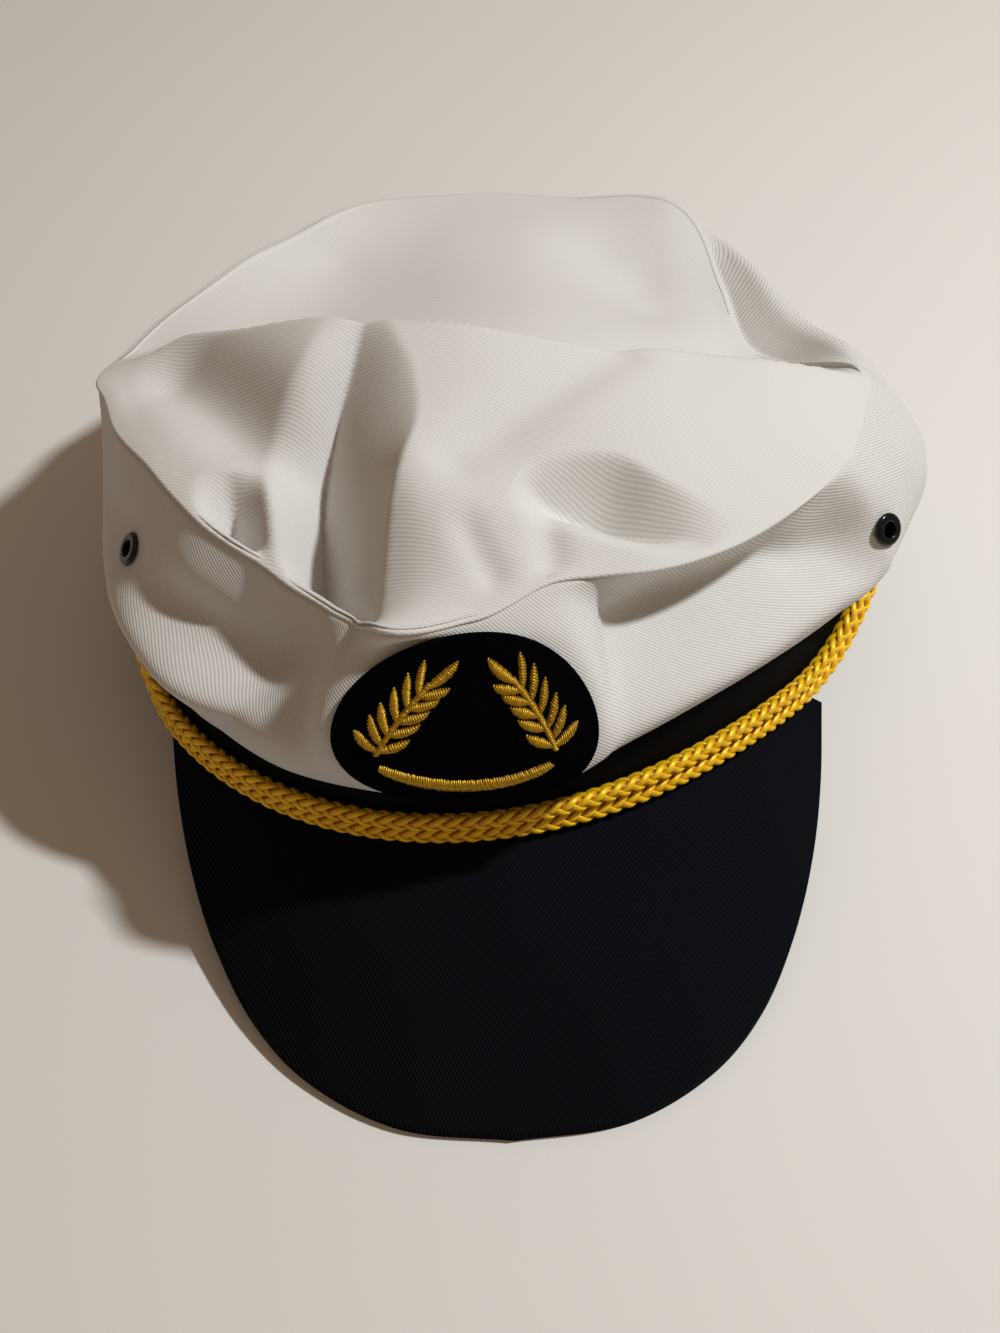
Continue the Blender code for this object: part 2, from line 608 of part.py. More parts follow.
def cord_route(level):
    """Points along one strand; level 0 is the lower strand and 1 the upper."""
    lower = []
    for angle in np.linspace(*CORD_SPAN, 401):
        start, end = CORD_CLIMB[0] if angle < 0 else CORD_CLIMB[1]
        climb = max(0.0, (abs(angle) - start) / (end - start)) ** 2
        up = band_foot(angle) + PEAK_SEAT + GAP + CORD_DIAMETER / 2 + CORD_RISE * climb
        lower.append((angle, up))
    route = []
    for (angle_a, up_a), (angle_b, up_b) in zip(lower, lower[1:]):
        angle, up = (angle_a + angle_b) / 2, (up_a + up_b) / 2
        run = math.radians(angle_b - angle_a) * band_out(angle)
        slope = (up_b - up_a) / run
        lift = CORD_PITCH * level / math.hypot(1, slope)
        angle -= math.degrees(lift * slope / band_out(angle))
        up += lift
        if up < band_foot(angle) + BAND_HEIGHT - CORD_END_BELOW:
            stand = CORD_STAND * (1 - level) * ease((angle + 10) / 40)
            route.append(polar(angle, band_out(angle) + GAP + CORD_DIAMETER / 2 + stand, up))
    count = 42
    return [route[round(i * (len(route) - 1) / (count - 1))] for i in range(count)]


def make_cord(name, level, parts, material):
    curve = bpy.data.curves.new(name, "CURVE")
    curve.dimensions = "3D"
    curve.bevel_depth = CORD_DIAMETER / 2
    curve.bevel_resolution = 2
    curve.use_fill_caps = True
    route = cord_route(level)
    spline = curve.splines.new("POLY")
    spline.points.add(len(route) - 1)
    for point, place in zip(spline.points, route):
        point.co = (*place, 1)
    make_object(name, curve, material, parts)


def wall_place(angle, up):
    """A place on the side wall and its outward direction there, as a matrix."""
    def point(angle, up):
        return polar(angle, side_out(angle, up), up)

    step_angle, step_up = 1.5, 2.0 * MM
    across = point(angle + step_angle, up) - point(angle - step_angle, up)
    upward = point(angle, up + step_up) - point(angle, up - step_up)
    outward = across.cross(upward).normalized()
    return Matrix.Translation(point(angle, up)) @ outward.to_track_quat("Z", "Y").to_matrix().to_4x4()


def make_cutter(name, place, cutters):
    bpy.ops.mesh.primitive_cylinder_add(vertices=16, radius=EYELET_BARREL, depth=12 * MM)
    cutter = bpy.context.object
    cutter.name = name
    for owner in cutter.users_collection:
        owner.objects.unlink(cutter)
    cutters.objects.link(cutter)
    cutter.parent = bpy.data.objects["cap_axis"]
    cutter.matrix_basis = place
    cutter.hide_render = True
    cutter.display_type = "WIRE"
    return cutter


def make_eyelet(name, place, parts, material):
    """A turned ring: a rounded flange on the cloth and a barrel through its hole."""
    flange, barrel, hole = EYELET_FLANGE, EYELET_BARREL - 0.35 * MM, EYELET_HOLE
    foot, crown = EYELET_SEAT, EYELET_SEAT + EYELET_RIM
    profile = (
        (hole, crown - 0.3 * MM), (hole + 0.5 * MM, crown), (flange - 0.7 * MM, crown),
        (flange, crown - 0.5 * MM), (flange, foot), (barrel, foot),
        (barrel, -CLOTH - 0.6 * MM), (hole, -CLOTH - 0.6 * MM),
    )
    mesh = bpy.data.meshes.new(name)
    count = len(profile)
    mesh.from_pydata([(r, 0, z) for r, z in profile], [(i, (i + 1) % count) for i in range(count)], [])
    item = make_object(name, mesh, material, parts)
    item.matrix_basis = place
    turn = item.modifiers.new("Turn", "SCREW")
    turn.steps = 14
    turn.render_steps = 14
    turn.use_merge_vertices = True
    turn.merge_threshold = 0.00001
    turn.use_smooth_shade = True


def badge_point(across, upward, height):
    """A point of the badge: across and up its face, and height over the cloth."""
    x = across * math.cos(BADGE_TURN) - upward * math.sin(BADGE_TURN)
    y = across * math.sin(BADGE_TURN) + upward * math.cos(BADGE_TURN)
    up = BADGE_UP + y * BADGE_LEAN
    angle = BADGE_ANGLE + math.degrees(x / band_out(BADGE_ANGLE))
    out = badge_seat(angle, up) + BADGE_STAND
    tilt = BADGE_TILT * (y / BADGE_HALF_HEIGHT + 1) / 2
    return polar(angle, out + height * math.cos(tilt), up + height * math.sin(tilt))


def oval(angle, share):
    """The badge's outline, or a smaller oval inside it."""
    across = BADGE_HALF_WIDTH * math.cos(angle) * share
    upward = BADGE_HALF_HEIGHT * math.sin(angle) * share
    return tuple(Matrix.Rotation(OVAL_TURN, 2) @ Vector((across, upward)))


def make_badge(parts, felt):
    rings = []
    for share in (0.35, 0.7, 1.0):
        spots = [oval(2 * math.pi * step / 28, share) for step in range(28)]
        rings.append([badge_point(x, y, BADGE_THICKNESS) for x, y in spots])
    mesh = grid_mesh("badge", rings, closed=True, centre=badge_point(0, 0, BADGE_THICKNESS))
    mesh.flip_normals()
    item = make_object("badge", mesh, felt, parts)
    add_thickness(item, BADGE_THICKNESS)


def add_pad(shape, outline):
    """One raised stitch field: an outline in mm on the badge, made a pad of relief height."""
    low = [shape.verts.new((x * MM, y * MM, 0)) for x, y in outline]
    high = [shape.verts.new((x * MM, y * MM, RELIEF)) for x, y in outline]
    shape.faces.new(low[::-1])
    shape.faces.new(high)
    for i in range(len(outline)):
        j = (i + 1) % len(outline)
        shape.faces.new((low[i], low[j], high[j], high[i]))


def leaf_outline(x, y, direction, length, width):
    """A pointed leaf from its foot at x, y."""
    turn = math.radians(direction)
    spots = ((0, 0), (0.3, -0.42), (0.62, -0.5), (0.9, -0.26), (1, 0), (0.9, 0.26), (0.62, 0.5), (0.3, 0.42))
    outline = []
    for share, side in spots:
        along, out = share * length, side * width
        outline.append((x + along * math.cos(turn) - out * math.sin(turn),
                        y + along * math.sin(turn) + out * math.cos(turn)))
    return outline


def stem_spot(foot, tip, bow, share):
    """A spot on a stem that is bowed to the left between its foot and tip."""
    line = Vector(tip) - Vector(foot)
    side = Vector((-line.y, line.x)).normalized()
    return Vector(foot) + line * share + side * bow * 4 * share * (1 - share)


def stem_outline(foot, tip, bow, width):
    line = Vector(tip) - Vector(foot)
    side = Vector((-line.y, line.x)).normalized() * width / 2
    spots = [stem_spot(foot, tip, bow, step / 6) for step in range(7)]
    return [tuple(spot - side) for spot in spots] + [tuple(spot + side) for spot in spots[::-1]]


def join_relief(name, pads, parts, gold):
    """Pads that overlap, joined into one body and bent onto the badge's face."""
    scratch = bpy.data.collections.new(name + "_pads")
    pieces = []
    for outline in pads:
        shape = bmesh.new()
        add_pad(shape, outline)
        bmesh.ops.recalc_face_normals(shape, faces=shape.faces)
        mesh = bpy.data.meshes.new(name)
        shape.to_mesh(mesh)
        shape.free()
        pieces.append(bpy.data.objects.new(name + "_pad", mesh))
    base = pieces[0]
    bpy.context.scene.collection.objects.link(base)
    for piece in pieces[1:]:
        scratch.objects.link(piece)
    bpy.context.scene.collection.children.link(scratch)
    union = base.modifiers.new("Join", "BOOLEAN")
    union.operation = "UNION"
    union.operand_type = "COLLECTION"
    union.collection = scratch
    graph = bpy.context.evaluated_depsgraph_get()
    mesh = bpy.data.meshes.new_from_object(base.evaluated_get(graph))
    for piece in pieces:
        bpy.data.objects.remove(piece)
    bpy.data.collections.remove(scratch)
    shape = bmesh.new()
    shape.from_mesh(mesh)
    bmesh.ops.remove_doubles(shape, verts=shape.verts, dist=0.000001)
    bmesh.ops.dissolve_limit(shape, angle_limit=math.radians(0.5), verts=shape.verts, edges=shape.edges)
    bmesh.ops.triangulate(shape, faces=shape.faces)
    for vert in shape.verts:
        vert.co = badge_point(vert.co.x, vert.co.y, BADGE_THICKNESS + GAP + vert.co.z)
    shape.to_mesh(mesh)
    shape.free()
    mesh.name = name
    mesh.materials.clear()
    make_object(name, mesh, gold, parts)


def make_laurel(name, side, parts, gold):
    """A branch: a stem with pairs of leaves and one leaf at its tip; side is -1 or 1."""
    foot, tip, bow, width = LAUREL_STEM
    pads = [stem_outline(foot, tip, bow, width)]
    for share, outer, inner in LAUREL_LEAVES:
        place = stem_spot(foot, tip, bow, share)
        pads.append(leaf_outline(*place, outer, LEAF_LENGTH, LEAF_WIDTH))
        if inner is not None:
            pads.append(leaf_outline(*place, inner, LEAF_LENGTH, LEAF_WIDTH))
    pads.append(leaf_outline(*stem_spot(foot, tip, bow, 0.96), LAUREL_TIP, LEAF_LENGTH * 1.2, LEAF_WIDTH))
    if side > 0:
        pads = [[(-x, y) for x, y in reversed(pad)] for pad in pads]
    join_relief(name, pads, parts, gold)


def make_badge_bar(parts, gold):
    """A plain raised arc along the badge's lower edge."""
    steps, reach = 18, BAR_HALF_ANGLE
    inner, outer = [], []
    for step in range(steps + 1):
        turn = math.radians(-90 - reach + 2 * reach * step / steps)
        thick = BAR_WIDTH * (0.35 + 0.65 * math.sin(math.pi * step / steps) ** 0.5)
        for ring, radius in ((inner, BAR_RADIUS - thick / 2), (outer, BAR_RADIUS + thick / 2)):
            ring.append((radius * math.cos(turn), BAR_CENTRE_UP + radius * math.sin(turn)))
    join_relief("badge_bar", [outer + inner[::-1]], parts, gold)


def build():
    for item in list(bpy.data.objects):
        bpy.data.objects.remove(item, do_unlink=True)
    scene = bpy.context.scene
    parts = bpy.data.collections.new("sailor_cap")
    cutters = bpy.data.collections.new("cutters")
    scene.collection.children.link(parts)
    scene.collection.children.link(cutters)
    axis = bpy.data.objects.new("cap_axis", None)
    axis.location = (*BAND_CENTRE, 0)
    parts.objects.link(axis)

    white_twill = make_material("white_twill", (0.80, 0.78, 0.75), 0.85)
    black_cloth = make_material("black_cloth", (0.012, 0.012, 0.016), 0.85)
    black_felt = make_material("black_felt", (0.01, 0.01, 0.012), 0.95)
    golden_cord = make_material("golden_cord", (0.85, 0.48, 0.03), 0.45)
    gold_thread = make_material("gold_thread", (0.62, 0.40, 0.05), 0.4)
    black_metal = make_material("black_metal", (0.015, 0.015, 0.016), 0.2, 0.6)

    places = {name: wall_place(angle, up * MM) for name, angle, up in EYELETS}
    holes = [make_cutter(name + "_hole", place, cutters) for name, place in places.items()]
    make_crown_top(parts, white_twill)
    make_crown_side(parts, white_twill.copy(), holes)
    make_band(parts, black_cloth)
    make_peak(parts, black_cloth.copy())
    make_cord("cord_lower", 0, parts, golden_cord)
    make_cord("cord_upper", 1, parts, golden_cord.copy())
    for name, place in places.items():
        make_eyelet(name, place, parts, black_metal.copy())
    make_badge(parts, black_felt)
    make_laurel("laurel_left", -1, parts, gold_thread)
    make_laurel("laurel_right", 1, parts, gold_thread.copy())
    make_badge_bar(parts, gold_thread.copy())


build()
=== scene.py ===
# Looks of a sailor cap that lies slumped on a table: white twill crown, black band and peak,
# golden cord and a felt badge. Lengths are in millimetres from the middle of the head band,
# angles in degrees round the band from its front towards +X, until place() puts them in the frame.
import math

import bmesh
import bpy
import numpy as np
from mathutils import Matrix, Vector


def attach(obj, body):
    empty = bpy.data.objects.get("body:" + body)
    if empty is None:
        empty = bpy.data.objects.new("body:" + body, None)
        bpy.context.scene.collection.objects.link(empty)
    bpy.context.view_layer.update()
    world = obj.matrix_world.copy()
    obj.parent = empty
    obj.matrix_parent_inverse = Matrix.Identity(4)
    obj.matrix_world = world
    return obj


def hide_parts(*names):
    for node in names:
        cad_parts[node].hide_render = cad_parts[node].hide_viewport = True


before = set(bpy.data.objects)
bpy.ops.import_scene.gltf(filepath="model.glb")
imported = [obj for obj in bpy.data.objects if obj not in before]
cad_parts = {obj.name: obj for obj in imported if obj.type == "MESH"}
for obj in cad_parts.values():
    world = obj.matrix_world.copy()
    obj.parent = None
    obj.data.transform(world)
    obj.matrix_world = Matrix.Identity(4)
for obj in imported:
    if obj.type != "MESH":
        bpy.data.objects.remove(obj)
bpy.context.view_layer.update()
scene = bpy.context.scene

mm = 0.001
bandMiddle = np.array([-5.43, 31.9, 0.0])  # the band's middle in the frame
gap = 0.3  # clearance between pieces that touch


# the camera, with its target in metres in the frame
view = {
    "target": (-0.00543, -0.0281, 0.040),
    "azimuth": -3.0,
    "elevation": 50.0,
    "roll": 1.5,
    "distance": 0.450,
    "lens": 51.58,
    "filmSize": 36.0,
}
light = {
    "keyAzimuth": 2.0,  # from +X towards +Y
    "keyElevation": 57.0,
    "keyDistance": 1.0,
    "keySize": 0.07,
    "keyPower": 7.8,
    "keyColour": (0.966, 0.995, 1.0),
    "fillColour": (1.0, 0.73, 0.52),
    "fillStrength": 0.225,
    "backdrop": (0.80, 0.78, 0.75),
}


def towards(azimuth, elevation):
    turn, rise = math.radians(azimuth), math.radians(elevation)
    return Vector((math.cos(turn) * math.cos(rise), math.sin(turn) * math.cos(rise), math.sin(rise)))


def makeCamera():
    data = bpy.data.cameras.new("photoCamera")
    data.sensor_width = view["filmSize"]
    data.lens = view["lens"]
    camera = bpy.data.objects.new("photoCamera", data)
    scene.collection.objects.link(camera)
    back = towards(view["azimuth"] - 90, view["elevation"])
    spot = Matrix.Translation(Vector(view["target"]) + back * view["distance"])
    roll = Matrix.Rotation(math.radians(view["roll"]), 4, "Z")
    camera.matrix_world = spot @ back.to_track_quat("Z", "Y").to_matrix().to_4x4() @ roll
    scene.camera = camera


def makeLight():
    data = bpy.data.lights.new("keyLight", "AREA")
    data.shape = "DISK"
    data.size = light["keySize"]
    data.energy = light["keyPower"]
    data.color = light["keyColour"]
    lamp = bpy.data.objects.new("keyLight", data)
    scene.collection.objects.link(lamp)
    aim = towards(light["keyAzimuth"], light["keyElevation"])
    lamp.matrix_world = (Matrix.Translation(aim * light["keyDistance"])
                         @ aim.to_track_quat("Z", "Y").to_matrix().to_4x4())


class Wire:  # a node's socket that takes Python's operators
    def __init__(self, graph, socket):
        self.graph, self.socket = graph, socket

    def math(self, operation, *others):
        return self.graph.node("ShaderNodeMath", {"operation": operation}, (self, *others))

    def after(self, operation, first):  # the same with this wire second
        return self.graph.node("ShaderNodeMath", {"operation": operation}, (first, self))

    def out(self, name):
        return Wire(self.graph, self.socket.node.outputs[name])

    def __add__(self, other):
        return self.math("ADD", other)

    __radd__ = __add__

    def __mul__(self, other):
        return self.math("MULTIPLY", other)

    __rmul__ = __mul__

    def __sub__(self, other):
        return self.math("SUBTRACT", other)

    def __rsub__(self, other):
        return self.after("SUBTRACT", other)

    def __truediv__(self, other):
        return self.math("DIVIDE", other)

    def __rtruediv__(self, other):
        return self.after("DIVIDE", other)

    def __pow__(self, other):
        return self.math("POWER", other)

    def __rpow__(self, other):
        return self.after("POWER", other)


class Graph:  # a node tree, with one way to add a node
    def __init__(self, tree):
        self.tree = tree

    def node(self, kind, settings=None, inputs=(), output=0):
        made = self.tree.nodes.new(kind)
        for name, value in (settings or {}).items():
            setattr(made, name, value)
        for key, value in inputs.items() if isinstance(inputs, dict) else enumerate(inputs):
            if isinstance(value, Wire):
                self.tree.links.new(value.socket, made.inputs[key])
            else:
                made.inputs[key].default_value = value
        return Wire(self, made.outputs[output])

    def end(self, kind, wire):  # the tree's own output
        self.tree.links.new(wire.socket, self.tree.nodes.new(kind).inputs[0])

    def vector(self, operation, inputs, output=0):
        return self.node("ShaderNodeVectorMath", {"operation": operation}, inputs, output)

    def noise(self, spot, scale, detail=2.0, roughness=0.5):
        return self.node("ShaderNodeTexNoise", {}, {
            "Vector": spot, "Scale": scale, "Detail": detail, "Roughness": roughness})

    def mixColour(self, share, first, second):  # colours as wires or as red, green and blue
        first, second = (value if isinstance(value, Wire) else (*value, 1.0) for value in (first, second))
        return self.node("ShaderNodeMix", {"data_type": "RGBA"}, {0: share, 6: first, 7: second}, 2)


class Finish(Graph):  # a material and its main shader
    def __init__(self, name, constants):
        self.material = bpy.data.materials.new(name)
        self.material.use_nodes = True
        super().__init__(self.material.node_tree)
        self.shader = self.tree.nodes["Principled BSDF"]
        for socket, value in constants.items():
            self.shader.inputs[socket].default_value = value

    def spot(self):
        return self.node("ShaderNodeTexCoord", {}, {}, "Object")

    def feed(self, socket, wire):
        self.tree.links.new(wire.socket, self.shader.inputs[socket])

    def bump(self, height, distance, strength=1.0):
        self.feed("Normal", self.node("ShaderNodeBump", {}, {
            "Height": height, "Distance": distance, "Strength": strength}))


def makeWorld():
    world = bpy.data.worlds.new("studio")
    scene.world = world
    world.use_nodes = True
    graph = Graph(world.node_tree)
    world.node_tree.nodes.clear()
    seen = graph.node("ShaderNodeLightPath").out("Is Camera Ray")
    fill = graph.node("ShaderNodeBackground", {}, ((*light["fillColour"], 1.0), light["fillStrength"]))
    wall = graph.node("ShaderNodeBackground", {}, ((*light["backdrop"], 1.0), 1.0))
    graph.end("ShaderNodeOutputWorld", graph.node("ShaderNodeMixShader", {}, (seen, fill, wall)))


def makeFloor():
    look = {"size": 1.0, "pale": (0.79, 0.77, 0.74), "dimmer": 0.965, "roughness": 0.75,
            "cloudScale": 6.0, "cloudShare": 0.7, "speckScale": 900.0, "speckShare": 0.3,
            "grain": 0.0001, "grainStrength": 0.25,
            "fadeFrom": 0.42, "fadeTo": 0.70, "fadeEase": 0.2}  # far off it fades into the backdrop
    shape = bmesh.new()
    bmesh.ops.create_grid(shape, x_segments=2, y_segments=2, size=look["size"])
    mesh = bpy.data.meshes.new("floor")
    shape.to_mesh(mesh)
    shape.free()
    floor = bpy.data.objects.new("floor", mesh)
    scene.collection.objects.link(floor)
    paper = Finish("palePaper", {"Roughness": look["roughness"]})
    spot = paper.spot()
    cloud = paper.noise(spot, look["cloudScale"], 3.0)
    speck = paper.noise(spot, look["speckScale"], 2.0)
    share = cloud * look["cloudShare"] + speck * look["speckShare"]
    paper.feed("Base Color", paper.mixColour(share, look["pale"], [look["dimmer"] * c for c in look["pale"]]))
    away = paper.vector("LENGTH", (spot,), "Value")
    left = (look["fadeTo"] - away) / (look["fadeTo"] - look["fadeFrom"])
    paper.feed("Alpha", left.math("SMOOTH_MIN", 1.0, look["fadeEase"]).math("MAXIMUM", 0.0))
    paper.bump(speck, look["grain"], look["grainStrength"])
    mesh.materials.append(paper.material)


def tableSlopes(rows):  # of a smooth curve through a table's rows
    gaps = np.diff(rows[:, 0])[:, None]
    rises = np.diff(rows[:, 1:], axis=0) / gaps
    slopes = np.empty_like(rows[:, 1:])
    slopes[0], slopes[-1] = rises[0], rises[-1]
    slopes[1:-1] = (rises[:-1] * gaps[1:] + rises[1:] * gaps[:-1]) / (gaps[1:] + gaps[:-1])
    return slopes


def readTable(rows, keys):  # the other columns at any values of the first
    rows = np.asarray(rows, float)
    slopes = tableSlopes(rows)
    keys = np.clip(np.asarray(keys, float), rows[0, 0], rows[-1, 0])
    at = np.clip(np.searchsorted(rows[:, 0], keys, side="right") - 1, 0, len(rows) - 2)
    span = (rows[at + 1, 0] - rows[at, 0])[..., None]
    share = (keys - rows[at, 0])[..., None] / span
    hold, turn = share * share * (3 - 2 * share), share * (share - 1)
    return (rows[at, 1:] * (1 - hold) + rows[at + 1, 1:] * hold
            + span * turn * (slopes[at] * (share - 1) + slopes[at + 1] * share))


def roundTable(rows):  # two rows repeated at each end, so that it has no seam
    before = [(row[0] - 360, *row[1:]) for row in rows[-2:]]
    after = [(row[0] + 360, *row[1:]) for row in rows[:2]]
    return np.array([*before, *rows, *after], float)


def ease(share):
    share = np.clip(share, 0.0, 1.0)
    return share * share * (3 - 2 * share)


def polar(angle, out, up):
    turn = np.radians(angle)
    return np.stack(np.broadcast_arrays(out * np.sin(turn), -out * np.cos(turn), up), axis=-1)


def spun(x, y, degrees):  # a spot turned round the origin, also one of wires
    cosine, sine = math.cos(math.radians(degrees)), math.sin(math.radians(degrees))
    return x * cosine - y * sine, x * sine + y * cosine


def arc(centre, radii, start, end, steps):  # points on a round stretch, both ends included
    turns = [math.radians(start + (end - start) * step / steps) for step in range(steps + 1)]
    return [(centre[0] + radii[0] * math.cos(turn), centre[1] + radii[1] * math.sin(turn)) for turn in turns]


def bulge(share):  # 0 at both ends and 1 in the middle
    return 4 * share * (1 - share)


def distances(points, closed=False):  # from the first point along the line to each one
    points = np.asarray(points, float)
    if closed:
        points = np.vstack([points, points[:1]])
    return np.concatenate([[0], np.cumsum(np.linalg.norm(np.diff(points, axis=0), axis=1))])


def smoothPath(points, counts):  # points on a smooth curve, counts between each pair
    lengths = distances(points)
    keys = [low + (high - low) * np.arange(count) / count
            for low, high, count in zip(lengths, lengths[1:], counts)]
    return readTable(np.column_stack([lengths, points]), np.concatenate([*keys, lengths[-1:]]))


def evenly(points, step):  # the same path with points a step apart, and its length
    lengths = distances(points)
    keys = np.linspace(0, lengths[-1], max(2, round(lengths[-1] / step) + 1))
    return np.stack([np.interp(keys, lengths, points[:, axis]) for axis in range(3)], axis=-1), lengths[-1]


def place(points):  # from the cap's own millimetres to the frame's metres
    return (np.asarray(points, float) + bandMiddle) * mm


pieces = []  # each finished piece and the CAD node that it stands for


def newPiece(name, mesh, finish, node):
    piece = bpy.data.objects.new(name, mesh)
    scene.collection.objects.link(piece)
    mesh.materials.clear()
    mesh.materials.append(finish.material)
    pieces.append((piece, node))
    return piece


def gridMesh(name, rows, uv=None, loop=False, ring=False, centre=None, flip=False):
    # loop joins each row's ends, ring joins the last row to the first, centre caps the first row
    rows = np.asarray(rows, float)
    high, wide = rows.shape[:2]
    points = rows.reshape(-1, 3)
    faces, corners = [], []
    for i in range(high if ring else high - 1):
        for j in range(wide if loop else wide - 1):
            a, b, c, d = (i, j), (i, j + 1), (i + 1, j + 1), (i + 1, j)
            faces.append([(r % high) * wide + s % wide for r, s in (a, b, c, d)])
            corners.append((a, b, c, d))
    if centre is not None:
        points = np.vstack([points, centre])
        for j in range(wide):
            faces.append([len(points) - 1, (j + 1) % wide, j])
            corners.append(((-1, j), (0, j + 1), (0, j)))
    if flip:
        faces = [face[::-1] for face in faces]
        corners = [corner[::-1] for corner in corners]
    mesh = bpy.data.meshes.new(name)
    mesh.from_pydata(place(points).tolist(), [], faces)
    if uv is not None:
        layer = mesh.uv_layers.new(name="Cloth")
        values = [uv(*spot) for corner in corners for spot in corner]
        layer.data.foreach_set("uv", np.asarray(values, np.float32).ravel())
    mesh.shade_smooth()
    return mesh


def reshape(mesh, change):  # changes a mesh through bmesh, with its faces turned outwards
    shape = bmesh.new()
    shape.from_mesh(mesh)
    change(shape)
    bmesh.ops.recalc_face_normals(shape, faces=shape.faces[:])
    shape.to_mesh(mesh)
    shape.free()


def evaluated(piece):  # its mesh as the modifiers leave it
    graph = bpy.context.evaluated_depsgraph_get()
    graph.update()
    return bpy.data.meshes.new_from_object(piece.evaluated_get(graph))


def applyModifiers(piece):
    mesh = evaluated(piece)
    piece.modifiers.clear()
    old, piece.data = piece.data, mesh
    bpy.data.meshes.remove(old)
    mesh.name = piece.name


band = {
    "halfWidth": 93.0,
    "halfLength": 97.0,
    "height": 28.5,
    "wall": 2.6,
    "frontLift": 25.2,  # its front is this far off the table
    "liftEnd": 110.0,  # and from this angle on it lies flat
    "liftPower": 1.25,
    # waves in a whole turn, cosine, sine
    "waves": ((1, 1.2, 0.2), (2, -2.8, -2.4), (3, 2.5, -3.5)),
    "columns": 360,
    "edgeRadius": 0.7,
    "edgeSteps": 4,
}


def bandOut(angle):
    turn = np.radians(angle)
    out = 1 / np.hypot(np.sin(turn) / band["halfWidth"], np.cos(turn) / band["halfLength"])
    for waves, cosine, sine in band["waves"]:
        out = out + cosine * np.cos(waves * turn) + sine * np.sin(waves * turn)
    return out


def bandFoot(angle):
    end = math.cos(math.radians(band["liftEnd"]))
    share = np.clip((np.cos(np.radians(angle)) - end) / (1 - end), 0, 1)
    return band["frontLift"] * share ** band["liftPower"]


def roundAngles(count):
    return -180 + 360 * np.arange(count) / count


def makeBand(finish):
    angles = roundAngles(band["columns"])
    out, foot = bandOut(angles), bandFoot(angles)
    r, wall, height = band["edgeRadius"], band["wall"], band["height"]
    corners = ((-r, r), (-r, height - r), (r - wall, height - r), (r - wall, r))
    profile = []
    for centre, start in zip(corners, (270, 0, 90, 180)):
        profile += arc(centre, (r, r), start, start + 90, band["edgeSteps"])
    rows = [polar(angles, out + dx, foot + dz) for dx, dz in profile]
    around, down = distances(polar(angles, out, 0.0), closed=True) * mm, distances(profile, closed=True) * mm
    mesh = gridMesh("headBand", rows, lambda i, j: (around[j], down[i]), loop=True, ring=True)
    return newPiece("headBand", mesh, finish, "band")


# the badge comes before the crown, because the cloth is shaped to lie behind it
badge = {
    "angle": -4.7,
    "up": 66.3,
    "halfWidth": 27.7,
    "halfHeight": 18.8,
    "sweep": 19.0,  # degrees to its side
    "thickness": 1.6,
    "turn": -1.0,  # of the stitching
    "ovalTurn": -3.5,  # of the felt's outline
    "lean": 0.94,  # height gained for each millimetre up its face
    "tilt": 32.0,  # how far its top edge leans back
    "rings": 30,
    "steps": 180,
    "edgeSteps": 8,
    "backRings": (0.7, 0.4, 0.1),
    "hold": (1.03, 1.35),  # the cloth leaves the badge's back between these shares of its size
    # how far out the cloth is behind it: middle, sideways, sideways bend, slope, bend, lower curl, twist
    "seat": (100.85, -4.8, 0.5, -13.1, -5.7, 4.4, -2.1),
}


def badgeSeat(angle, up):  # the cloth behind the badge
    a, u = (angle - badge["angle"]) / badge["sweep"], (up - badge["up"]) / badge["halfHeight"]
    middle, side, sideBend, slope, bend, curl, twist = badge["seat"]
    return middle + side * a + sideBend * a * a + slope * u + bend * u * u + curl * u ** 3 + twist * a * u


def badgeHold(angle, up):  # 1 behind the badge, falling to 0 just outside it
    across = np.radians(angle - badge["angle"]) * bandOut(badge["angle"]) / badge["halfWidth"]
    upward = (up - badge["up"]) / badge["lean"] / badge["halfHeight"]
    start, end = badge["hold"]
    return ease((end - np.hypot(across, upward)) / (end - start))


def badgePoint(across, upward, height):  # a spot on the badge, and its height over the cloth
    x, y = spun(np.asarray(across, float), np.asarray(upward, float), badge["turn"])
    up = badge["up"] + y * badge["lean"]
    angle = badge["angle"] + np.degrees(x / bandOut(badge["angle"]))
    out = badgeSeat(angle, up) + gap
    tilt = math.radians(badge["tilt"]) * (y / badge["halfHeight"] + 1) / 2
    return polar(angle, out + height * np.cos(tilt), up + height * np.sin(tilt))


crown = {
    "cloth": 1.3,
    "columns": 384,
    "topRings": 80,
    "topMiddle": (0.0, 5.0),
    "ridgeEdge": 1.5,
    "climb": 1.6,  # how steeply the cloth comes up again beyond a fold's foot
    "foldEnd": 0.06,  # folds die out within this share of the panel from the seam
    "seamHold": 0.12,  # the wall follows the badge only below this share of its height
    "sideSteps": (6, 6, 13, 10),  # rows between a section's points, from the seam down to the lip
    "lipOut": 1.6,
    "lipUp": 1.0,
    "hemRest": 0.5,
    "hemTuck": 6.0,
    "sideShares": (0.0, 0.19, 0.375, 0.75, 1.0),  # of the wall's height at those points
    "creaseRound": 0.7,
    "weaveLean": 0.75,  # how much the wall's ribs follow its bulges, so that they run on straight
    "seamStep": 1.2,  # the wall starts this far from the top panel's edge
    "seamDip": 0.5,
    "tuck": (1.2, 0.1),  # its upper edge turns in under the panel, inwards and up
    # the top panel's rolled edge: out and down from the seam
    "rim": ((0.35, 0.12), (0.55, 0.5), (0.35, 0.95), (-0.3, 1.2), (-1.4, 1.25)),
}
